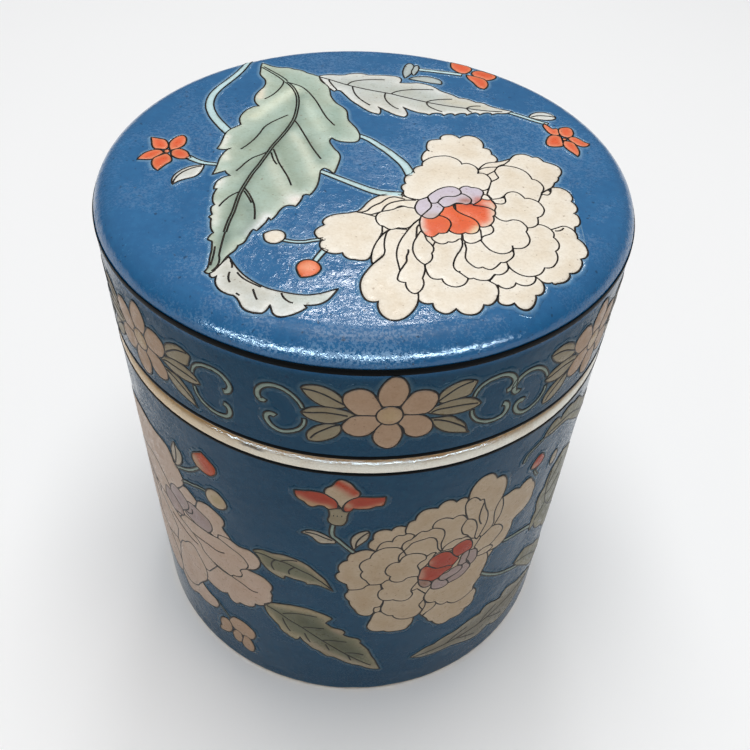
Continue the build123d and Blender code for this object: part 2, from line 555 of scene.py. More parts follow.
# Wraps a flat drawing round the wall: X is the way round, Y the height, Z how proud it stands
on_wall, given, result = tree_of("lay_on_wall", wall_radius="Float")
along, up, proud = place_of_point(on_wall)
turn = math_node(on_wall, "DIVIDE", along, given.outputs["wall_radius"])
out = math_node(on_wall, "ADD", proud, given.outputs["wall_radius"])
right = math_node(on_wall, "MULTIPLY", out, math_node(on_wall, "SINE", turn))
forward = math_node(on_wall, "MULTIPLY", out, math_node(on_wall, "COSINE", turn))
move_points(on_wall, given, result, right, math_node(on_wall, "MULTIPLY", forward, -1.0), up)

# Lays a flat drawing on the lid's top, and lets it follow the lid's rounded edge
on_lid, given, result = tree_of("lay_on_lid", wall_radius="Float", top_height="Float", edge_radius="Float")
x, y, proud = place_of_point(on_lid)
edge = given.outputs["edge_radius"]
flat = on_lid.nodes.new("ShaderNodeCombineXYZ")
on_lid.links.new(x, flat.inputs["X"])
on_lid.links.new(y, flat.inputs["Y"])
across = on_lid.nodes.new("ShaderNodeVectorMath")
across.operation = "LENGTH"
on_lid.links.new(flat.outputs[0], across.inputs[0])
past = math_node(on_lid, "SUBTRACT", across.outputs["Value"], given.outputs["wall_radius"])
past = math_node(on_lid, "MAXIMUM", math_node(on_lid, "ADD", past, edge), 0.0)
left = math_node(on_lid, "SUBTRACT", math_node(on_lid, "MULTIPLY", edge, edge),
                 math_node(on_lid, "MULTIPLY", past, past))
left = math_node(on_lid, "SQRT", math_node(on_lid, "MAXIMUM", left, 0.0))
up = math_node(on_lid, "ADD", proud, given.outputs["top_height"])
up = math_node(on_lid, "SUBTRACT", up, math_node(on_lid, "SUBTRACT", edge, left))
move_points(on_lid, given, result, x, y, up)


def number_inputs(tree):
    """The number inputs of a tree, the way tree_of takes them."""
    return {item.name: "Float" for item in tree.interface.items_tree
            if item.in_out == "INPUT" and item.socket_type == "NodeSocketFloat"}


def run_inside(tree, given, inner, shape):
    """Runs an inner tree on a shape, with the outer tree's numbers."""
    group = tree.nodes.new("GeometryNodeGroup")
    group.node_tree = inner
    tree.links.new(shape, group.inputs["Geometry"])
    for label in number_inputs(inner):
        tree.links.new(given.outputs[label], group.inputs[label])
    return group


def bead_along(tree, path, sideways, upward, sides):
    """A flattened bead along a path, with its two sizes and the number of sides of its section."""
    add, link = tree.nodes.new, tree.links.new
    upright = add("GeometryNodeSetCurveNormal")
    upright.mode = "Z_UP"
    link(path, upright.inputs["Curve"])
    section = add("GeometryNodeCurvePrimitiveCircle")
    section.inputs["Resolution"].default_value = sides
    section.inputs["Radius"].default_value = 0.5
    size = add("ShaderNodeCombineXYZ")
    link(sideways, size.inputs["X"])
    link(upward, size.inputs["Y"])
    squash = add("GeometryNodeTransform")
    link(section.outputs[0], squash.inputs["Geometry"])
    link(size.outputs[0], squash.inputs["Scale"])
    bead = add("GeometryNodeCurveToMesh")
    bead.inputs["Fill Caps"].default_value = True
    link(upright.outputs[0], bead.inputs["Curve"])
    link(squash.outputs[0], bead.inputs["Profile Curve"])
    return bead.outputs[0]


def fire(tree, given, result, shape):
    """Ends a tree: smooth, real geometry with its finish."""
    smooth = tree.nodes.new("GeometryNodeSetShadeSmooth")
    real = tree.nodes.new("GeometryNodeRealizeInstances")
    finish = tree.nodes.new("GeometryNodeSetMaterial")
    tree.links.new(given.outputs["finish"], finish.inputs["Material"])
    for node in (smooth, real, finish):
        tree.links.new(shape, node.inputs["Geometry"])
        shape = node.outputs[0]
    tree.links.new(shape, result.inputs["Geometry"])


def laying_tree(name, lay, outline):
    """A tree that lays a sheet, or trails a bead along lines, and fires it onto the glaze."""
    sizes = number_inputs(lay)
    if outline:
        sizes |= {"bead_width": "Float", "bead_height": "Float"}
    tree, given, result = tree_of(name, **sizes, finish="Material")
    shape = given.outputs["Geometry"]
    if outline:
        curve = tree.nodes.new("GeometryNodeMeshToCurve")
        tree.links.new(shape, curve.inputs["Mesh"])
        shape = bead_along(tree, curve.outputs[0], given.outputs["bead_width"],
                           given.outputs["bead_height"], sides=6)
    fire(tree, given, result, run_inside(tree, given, lay, shape).outputs[0])
    return tree


sheet_on_lid = laying_tree("enamel_on_lid", on_lid, outline=False)
line_on_lid = laying_tree("line_on_lid", on_lid, outline=True)
sheet_on_wall = laying_tree("enamel_on_wall", on_wall, outline=False)
line_on_wall = laying_tree("line_on_wall", on_wall, outline=True)


def backed(name, mesh, thick):
    """An object of a flat mesh, with a back below it where it has a thickness."""
    flat = bpy.data.objects.new(name, mesh)
    scene.collection.objects.link(flat)
    if thick:
        back = flat.modifiers.new("back", "SOLIDIFY")
        back.thickness = thick
        back.offset = -1
    return flat


def fired(name, mesh, tree, body, slot, thick=0.0, **sizes):
    """Gives a flat mesh its back and its place by the tree, and keeps the result as a plain piece."""
    draft = backed(name + "_draft", mesh, thick)
    laying = draft.modifiers.new("laying", "NODES")
    laying.node_group = tree
    for item in tree.interface.items_tree:
        if item.in_out == "INPUT" and item.name in sizes:
            laying[item.identifier] = sizes[item.name]
    graph = bpy.context.evaluated_depsgraph_get()
    piece = bpy.data.objects.new(name, bpy.data.meshes.new_from_object(draft.evaluated_get(graph)))
    piece.data.name = name
    bpy.data.objects.remove(draft)
    scene.collection.objects.link(piece)
    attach(piece, body)


def enamel(name, tint=(1, 1, 1, 1), gloss=0.4):
    """Opaque enamel in the painted colours: a little uneven, with pinholes and tiny brown specks."""
    material, tree, shader = new_material(name)
    painted_colour = tree.nodes.new("ShaderNodeVertexColor")
    painted_colour.layer_name = "enamel"
    colour = blend(tree, 1.0, painted_colour.outputs["Color"], tint, "MULTIPLY")
    colour = flecked(tree, colour, (0.83, 0.76, 0.66, 1), 0.5, (170, 4, 0.6), (0.35, 0.7), "MULTIPLY")
    colour = flecked(tree, colour, (0.78, 0.74, 0.68, 1), 0.4, (1900, 3, 0.7), (0.38, 0.7), "MULTIPLY")
    colour = flecked(tree, colour, paint(112, 78, 48), 0.5, (1500, 1, 0.5), (0.71, 0.78))
    link = tree.links.new
    link(colour, shader.inputs["Base Color"])
    link(ranged(tree, texture(tree, 600, 3, 0.6), 0.3, 0.7, 0.24, 0.5), shader.inputs["Roughness"])
    shader.inputs["Specular IOR Level"].default_value = gloss
    link(relief(tree, texture(tree, 1300, 3, 0.6), 0.35, 0.00006), shader.inputs["Normal"])
    return material


def pale_rim():
    """The blue glaze where it runs paler beside an enamel."""
    material, tree, shader = new_material("pale_glaze_round_enamel")
    _, _, _, height = place_on_piece(tree)
    near = tree.nodes.new("ShaderNodeAttribute")
    near.attribute_name = "halo"
    amount = math_node(tree, "MULTIPLY", near.outputs["Fac"], 0.62)
    # Darker on the walls than on the top: painted shade, as in the blue glaze
    paler = blend(tree, ranged(tree, height, 0.11, 0.113), paint(96, 122, 132), paint(150, 190, 214))
    tree.links.new(blend(tree, amount, blue_ground(tree, height), paler), shader.inputs["Base Color"])
    shine(tree, shader, height, 0.0, 0.0)
    return material


def trailed_line():
    """The dark brown-black line, worn paler in places."""
    material, tree, shader = new_material("trailed_line")
    colour = flecked(tree, paint(20, 18, 18), paint(60, 48, 38), 1.0, (1100, 3, 0.6), (0.35, 0.75))
    tree.links.new(colour, shader.inputs["Base Color"])
    shader.inputs["Roughness"].default_value = 0.4
    shader.inputs["Specular IOR Level"].default_value = 0.2
    return material


enamel_finish = enamel("enamel")
# On the walls and the skirt the enamel is darkened, which is painted shade for the shaded walls, and
# browner, its own aged tone; it has hardly any gloss
shaded_wall_enamel = enamel("enamel_on_wall", (0.58, 0.485, 0.39, 1), gloss=0.15)
halo_finish = pale_rim()
line_finish = trailed_line()


def enamelled(drawing, grid, names, body, slot, trees, finish, line_width, **place):
    """Fires a drawing onto a body: its sheet of enamel, its trailed lines and the pale rim round it."""
    sheet, lines, halo = painted(drawing, grid)
    lay_sheet, lay_line = trees
    fired(names[0], sheet, lay_sheet, body, slot, ENAMEL_BACK, finish=finish, **place)
    fired(names[1], lines, lay_line, body, "dark_line", bead_width=line_width, bead_height=BEAD_HEIGHT,
          finish=line_finish, **place)
    fired(names[2], halo, lay_sheet, body, "blue_glaze", ENAMEL_BACK, finish=halo_finish, **place)


def on_the_lid(name, stem, drawing, slot):
    """Fires a drawing onto the lid's top, with its lines and its rim named from the stem."""
    enamelled(drawing, LID_GRID, (name, stem + "_lines", stem + "_halo"), "cap_lid", slot,
              (sheet_on_lid, line_on_lid), enamel_finish, LID_LINE,
              wall_radius=wall_radius, top_height=lid_top, edge_radius=LID_EDGE)


# The peony, from the petals underneath to the heart on top
PEONY = [
    ("cream", "0,-16 6,-11 8,-5 13,3 18,4 22,3 30,0 34,-8 36,-14 34,-22 33,-30 26,-33 20,-34 12,-36 6,-38 "
              "2,-36 4,-28 0,-24 -4,-22"),
    ("cream", "10.6,1! 10.3,2.2 10.6,3.8 11.5,5.4! 11.4,7 11.9,8.7 13,9.3 14.2,9.5! 14.5,10.8 15.7,11.5 "
              "17,11.3 18,10.2! 19,11.2 20.1,11.4 21.3,10.9 22.2,9.8 22.6,8.2 22.4,6.9! 23.5,6.6 23.9,5.7 "
              "23.9,4.8! 24.6,4 24.9,2.9 24.5,2.1! 20,-2! 14,-2!"),
    ("line", "11.5,5.4 11.9,4.8"),
    ("cream", "20.9,-1.2! 22.1,0.9 23.3,1.7 25,2.1 26.2,2.7 27.4,3.5! 27.1,2.4 26.5,1.6 25.4,1 24.4,0! "
              "22,-1!"),
    ("cream", "20.9,-1.2! 22,-0.3 23.2,0.1 24.7,0.2! 24,-1.2 23.4,-2.7 23.2,-4.5! 21,-3!"),
    ("cream", "24,-1.2! 24.2,-2.1 24.6,-3.4! 24,-4.1 23,-4.9! 22,-3!"),
    ("cream", "27.1,2.6! 27.7,3.9 28.5,4.9 29.7,5.3 30.8,5.1 31.8,4.3! 32.8,4.4 33.4,3.8 33.8,2.9! 35,2.4 "
              "36.2,1.6 36.8,0.4 36.7,-0.9 35.9,-2.4! 35.7,-3.5 34.9,-4.3! 34.7,-5.1 34.1,-6.1! 32,-8! "
              "27,-6! 25,0!"),
    ("cream", "34.1,-6! 34.9,-5.8 35.9,-6 36.9,-6.8 37.5,-8 37.6,-9.3 37.2,-10.2! 37.8,-11.2 38,-12.4 "
              "37.7,-13.4 37.1,-13.9! 37.7,-14.6 37.9,-15.6 37.8,-16.8 37.3,-17.7 36.7,-18! 36.5,-19.6! "
              "30,-19! 30,-12! 32.2,-8.2! 33,-8.5 33.5,-8.2 33.9,-7.2!"),
    ("line", "32.2,-7.8 32.9,-7.1 34.1,-6.1"),
    ("cream", "32.3,-19.2! 33.4,-18.6 34.5,-18 35.3,-18.1 36,-18.7 36.5,-19.6 36.7,-20.6 36.6,-21.5! "
              "37.4,-22.6 37.8,-24 37.8,-25.4 37.3,-26.6 36.3,-27.1! 36.4,-28.2 36,-29.4 35.3,-30.5 "
              "34.6,-31 33.8,-31.1! 33.8,-31.9 33.2,-32.9 32.4,-33.5 31.5,-33.8! 31.1,-34.1 30.6,-33.7! "
              "29.8,-33.9 29,-33.6 28.4,-32.9 28,-32! 29,-26!"),
    ("line", "33,-19.5 33.9,-19.4 34.6,-18.6"),
    ("cream", "21.4,-38.9! 21.8,-39.5 22.6,-39.8 23.4,-39.6 24,-39.1! 24.4,-39.9 25.3,-40.3 26.3,-40 "
              "27.1,-39.1 27.5,-38 27.6,-37! 28.4,-36.8 29,-36 29.2,-34.8 29,-33.7 28.1,-32.4! 22,-32!"),
    ("cream", "20.5,-33.9! 20.9,-34.7 21.8,-34.9! 22.8,-35.7 23.7,-35.5 24.4,-34.9 24.7,-34.1! 25.3,-34.6 "
              "26.2,-34.8 27.2,-34.4 27.9,-33.5 28.1,-32.3! 24,-28!"),
    ("cream", "30,-17.9! 30.9,-17.9 31.8,-18.5 32.4,-19.3 32.7,-20.3 32.5,-21.4! 33,-22.3 33.2,-23.4 "
              "32.9,-24.6 32.3,-25.3! 32.5,-26.5 32.3,-27.8 31.8,-28.9 31,-29.8 29.9,-29.9! 29.5,-30.9 "
              "28.9,-31.7 28,-32.2 27,-32.4 25.8,-32.1 24.8,-31.3 24.1,-30.3 23.6,-28.8! 24.6,-27.8 "
              "25.1,-26.8 25,-24! 27,-18!"),
    ("cream", "8.8,-37.8! 8.8,-39.1 9.3,-39.9 10.2,-40.2 11.1,-40! 11.3,-41.2 12,-42 13,-42.4 13.9,-42 "
              "14.7,-41! 15.4,-42 16.5,-42.4 17.6,-42.2 18.5,-41.4 19.1,-39.8! 20,-39.9 20.9,-39 "
              "21.5,-37.6 21.7,-36.2 21.4,-34.8! 18,-32! 10,-32!"),
    ("cream", "16.5,-23.2! 16.6,-24.5 16.2,-26 15.5,-27.5 15,-29 14.8,-30.3 15,-31.3 15.6,-32! 16.3,-33 "
              "17,-33.6 17.9,-33.4! 18.7,-33.8 19.6,-33.9 20.4,-33.7 21,-32.9 21.4,-32.2! 22.4,-32.2 "
              "23.3,-31.5 23.8,-30.5 23.7,-29! 20,-24!"),
    ("line", "15.6,-32 15.8,-31.8"),
    ("cream", "10.3,-22.4! 10.6,-23.7 11.3,-24.8 11.7,-26 11.3,-27.3! 11.4,-28.4 11,-29.4 10.2,-30.3! "
              "10.1,-31 10.3,-32 10.7,-33.3 11.4,-34 12.8,-33.9! 13.1,-34.9 13.9,-35.6 15,-35.8 16.1,-35.3 "
              "16.8,-34.3 17,-33.5! 15.6,-32! 15,-31.3 14.8,-30.3 15,-29 15.5,-27.5 16.2,-26 16.6,-24.5 "
              "16.5,-23! 14,-22!"),
    ("cream", "17,-24.2! 17.2,-25.6 17,-27 16.9,-28.1 17.2,-29.1 17.9,-30.1 18.7,-30.7 19.6,-30.4! "
              "20.1,-30.8 20.9,-31 21.7,-30.4 22.3,-29.6 22.7,-29! 23.5,-28.9 24.6,-27.8 25.1,-26.8 "
              "25.1,-25.9! 22,-22! 18,-22!"),
    ("cream", "-1.5,-16.2! -3,-16.8 -4.7,-17.2 -6,-17.8 -7,-18.8 -7.3,-19.8 -6.9,-20.6! -8,-21.6 "
              "-8.5,-22.7 -8.2,-23.8 -7.6,-24.6 -7,-24.8! -7.4,-25.7 -7.3,-26.8 -6.7,-27.7 -5.6,-28.4 "
              "-4.5,-28.5 -3.5,-28.1! -3.2,-29 -2.4,-29.7 -1.5,-29.8! -0.4,-30 0.5,-29.8 1.1,-29 1.3,-28! "
              "3,-22! 3,-18!"),
    ("cream", "4.4,-21! 3.3,-22.3 2.2,-24.5 1.6,-26.5 1.3,-28.3 1.3,-29.7 1.5,-30.9! 3.5,-28! 5,-22!"),
    ("cream", "5,-20.8! 4,-21.6 3.6,-23 3.4,-24.7 3.4,-26 3.5,-27.3 3.2,-28.6 2.3,-29.9 1.6,-30.8 "
              "0.7,-32.5 0,-34.1 -0.35,-36 -0.1,-38.2 0.6,-39.8 1.7,-40.3 2.6,-40! 2.5,-41.3 3,-43 4,-44.1 "
              "5.1,-44.4 6.3,-44 7.4,-42.9 8.3,-41.3 8.8,-39.6 8.8,-37.6! 9,-30! 8,-21!"),
    ("cream", "9.3,-17.9! 8.3,-19.4 7,-22 6,-24.5 5.5,-27 5.5,-29 5.8,-31 6,-32.3! 5.7,-33.5 5.6,-34.6 "
              "6.1,-35.1 6.9,-35.2! 7,-36.4 7.6,-37.5 8.3,-37.9 9,-37.4 9.6,-36.3 9.8,-35 9.6,-34! "
              "9.9,-32.8 10.1,-31.5 10,-30.3! 12,-24! 11,-20!"),
    ("line", "7.4,-26.6 7.4,-27.4 7.1,-28.6 7.1,-29.8 6.6,-31 6,-32.3"),
    ("cream", "9.6,-21.2! 8.8,-23.2 8.4,-24.3 8.2,-25.6 8.2,-27 8.7,-28.7 9.4,-29.8 10.1,-30.4! 11,-29.5 "
              "11.4,-28.4 11.3,-27.3! 11.7,-26 11.3,-24.8 10.6,-23.7 10.3,-22!"),
    ("line", "9.5,-19.2 9,-20.2 8.9,-21.5 8.8,-23"),
    ("cream", "6.7,-9.9! 6.8,-9.1! 6.4,-8.3 6.5,-7.4 7.2,-6.7! 6.95,-5.3 7.4,-3.9! 8.3,-3.1 8.6,-2.1! "
              "9.2,-1 10.4,-0.4! 10.6,1 12,2.5 13.5,3.2 15.3,3.4 16.9,2.6 17.7,1.6 17.9,0.7! 18.8,1.1 "
              "19.7,0.8 20.6,-0.1 20.9,-1.2 20.7,-2.3! 21.7,-2.1 22.6,-2.9 23.1,-4.3 23,-5.8 22.3,-7.3 "
              "21.3,-7.9! 18,-12! 11,-13! 9.4,-11.7! 7.7,-11.3 6.9,-10.6!"),
    ("cream", "24.6,0.1! 25.6,0.8 26.8,0.8 28,0.5 29.3,-0.3 30.2,-1.4 30.7,-2.7 30.8,-3.4! 31.6,-3.7 "
              "32.3,-4.6 32.7,-6 32.5,-7 32.1,-7.8! 31.8,-9 31.1,-10.9! 30,-13! 24,-13! 22,-9! 23.1,-4.8! "
              "24,-4.1 24.6,-3.4! 24.2,-2.1 24,-1.2!"),
    ("line", "22.6,-10.7 23.6,-10.5 24.7,-9.8 25.5,-8.7"),
    ("cream", "24.9,-9.9! 25.2,-10.6 25,-11.7 24.2,-12 23.2,-11.8! 22.6,-10.7! 23.7,-10.4!"),
    ("cream", "25.1,-9.5! 25.6,-8.5 26.6,-7.9 27.6,-8.1 28.3,-8.9 28.8,-9.9! 29.8,-9.9 31,-10.7 31.7,-12 "
              "31.9,-13.4 31.3,-15 30.4,-15.7! 30.4,-16.8 30.1,-17.9 29.2,-18.7 28.2,-18.9! 26,-19! "
              "22,-17! 22,-12.5! 23.2,-11.8! 24.2,-12 25,-11.6 25.2,-10.6!"),
    ("cream", "22.9,-15.7! 23.6,-16.8 24.7,-17.2 26,-16.7 27.2,-17 27.9,-18 28.25,-19 27.9,-20.1! "
              "28.2,-21.2 28.3,-22.4 27.9,-23.7 27,-24.7 26,-25 25.1,-24.9! 24.9,-25.6 24,-26.4 22.8,-26.6 "
              "21.5,-26 20.7,-25 20.1,-23.8 19.8,-22.8! 20,-19!"),
    ("line", "25.1,-24.9 25.1,-24.3"),
    ("cream", "21.5,-18.2! 22.2,-19.2 22.2,-20.3 21.7,-21.1 20.9,-21.6 20.2,-22.1 19.9,-23! 18,-20!"),
    ("cream", "20,-22.8! 19.5,-23.3 18.9,-23.8 18,-24.1 17.3,-23.8 16.8,-23.1! 16.8,-21! 20,-20!"),
    ("cream", "16.7,-21.6! 16.6,-22.9! 16.1,-23 15.6,-23.6 14.9,-24 14.2,-23.9! 13.8,-24.4 13,-24.6 "
              "12.2,-24.2 11.6,-23.5 11.4,-22.6! 13,-20!"),
    ("cream", "5.5,-14.6! 4.7,-15.2 3.7,-15.6 2.8,-15.9! 2.1,-16.8 1.85,-17.8 2,-18.9 2.6,-20! 3.3,-20.3 "
              "3.9,-20.9 4.5,-21.1! 5.2,-20.9 5.8,-20.5! 6.5,-20.6 7.3,-20.5 8,-19.8 8.6,-18.8 9.3,-17.9! "
              "10.5,-16.5! 9,-13!"),
    ("cream", "-1.6,-16.4! -0.7,-15.3 0.2,-13.5 1,-12.3 2,-11.3 3.2,-10.6 4.6,-10.35 6,-10.5 7.3,-11.1 "
              "8.5,-11.7 10.2,-11.6! 9.4,-14.5! 7.5,-14.3 6.4,-13.9 5.5,-14.6! 4.7,-15.2 3.7,-15.6 "
              "2.9,-15.9! 1,-17!"),
    ("line", "-1.4,-16.4 -0.4,-16.3 0.4,-15.8 0.9,-15 1.6,-14.2 2.6,-13.4 3.3,-12.5 4.2,-11.6 5.2,-11.3 "
             "6.2,-11.6 7,-11.9"),
    ("line", "2.9,-15.8 3.3,-14.7 3.7,-14 4.5,-13.2 5.7,-12.6 7,-12.2 9,-12"),
    ("cream", "21.3,-9.1! 22,-9.5 22.5,-10.4 22.4,-11 21.7,-11 20.8,-10.5! 20.5,-9.6!"),
    ("orange", "20.8,-10.5! 21.7,-10.9 22.5,-10.8! 23,-11.8 23.3,-12.8 23,-14 23,-15.2 22.5,-15.9! "
               "22.6,-17 22.2,-18 21.5,-18.9 20.3,-19.3! 16,-17! 16,-12.5! 19.3,-12.4!"),
    ("wash", "22.6,-12.5 22.8,-15 22.3,-17.8 20.8,-19.1", 0.9, paint(244, 226, 206), 0.9),
    ("wash", "21.6,-12.2", 0.9, paint(240, 190, 175), 0.8),
    ("wash", "18,-12.6 20,-12.8 21,-13.4", 0.7, paint(196, 66, 40), 0.9),
    ("line", "19.1,-12.8 20.8,-13.1 22,-13.5 22.8,-14.2"),
    ("orange", "15.7,-12.8! 15.8,-14 16.5,-15.1 17.5,-15.9 18.6,-16.6 19.5,-17.6 19.9,-19 19.7,-20.2 "
               "19.2,-21 18.2,-21.4 17.3,-21.1! 16.6,-21.5 15.8,-21.6 15,-21.2 14.4,-20.4! 12.5,-18! "
               "12.8,-14!"),
    ("wash", "19.6,-19.8 18.8,-21.1", 0.9, paint(240, 226, 190), 0.95),
    ("wash", "16.5,-18.5", 1.6, paint(226, 92, 36), 0.7),
    ("orange", "12.9,-16.3! 14.1,-16.9 14.7,-17.6 14.95,-18.8 14.6,-20.2 14.1,-21.3! 13.4,-21.6 "
               "12.7,-21.6! 12.2,-22.3 11.5,-22.8 10.6,-22.5 10,-21.6 9.6,-20.3 9.5,-18.7 9.6,-17.6 "
               "9.9,-16.5!"),
    ("wash", "9.7,-17 9.6,-19.4 10,-21.4", 0.75, paint(240, 226, 214), 1.0),
    ("lilac", "16.9,-8! 17.6,-7 18.5,-6.7 19.2,-7.1! 20.3,-7.2 21,-7.7 21.35,-8.5 21.2,-9.3 20.9,-10! "
              "20.7,-10.9 20.2,-11.6 19.3,-12.5! 17,-11!"),
    ("wash", "20.3,-11 20,-12", 1.0, paint(200, 110, 96), 0.9),
    ("lilac", "17.3,-9.2! 17.9,-9.5 18.6,-10.2 19,-11 18.8,-12 18,-12.6 17,-12.3 16.2,-12.3 15.6,-12.8 "
              "14.9,-13.4 14,-13.7 13.2,-13.2 12.9,-12.3! 13.3,-11.4 14,-10.6 15,-10.2!"),
    ("wash", "17.5,-11.6 18.6,-11.2", 0.9, paint(176, 110, 90), 0.85),
    ("lilac", "9.9,-16.7! 10.7,-17.3 11.4,-17.4 12.1,-17.2 12.8,-16.4 13.2,-15.6 13.6,-14.9 13.9,-13.9! "
              "12.9,-12.4! 11.6,-12! 10.5,-13!"),
    ("wash", "11,-16.8 12.4,-16.4", 0.9, paint(196, 176, 168), 0.8),
    ("lilac", "11.1,-10.8! 10.2,-11.4 9.4,-12 9,-13 8.75,-14.1 8.9,-15.2 9.3,-16.2 9.9,-16.7! 10.4,-15.9 "
              "11,-15 11.5,-14.2 11.7,-13.2 11.3,-12!"),
    ("lilac", "11.1,-10.8! 11.5,-10 12.3,-9 13.3,-8 14.5,-7.3 15.7,-7.1 16.6,-7.5! 17,-7.9! 17.25,-9 "
              "16.8,-9.7 16,-10.2 15,-10.3 14,-10.6 13.3,-11.4 12.9,-12.3! 12,-12.7 11.5,-12.3!"),
]
on_the_lid("lid_peony", "lid_peony", PEONY, "cream_enamel")

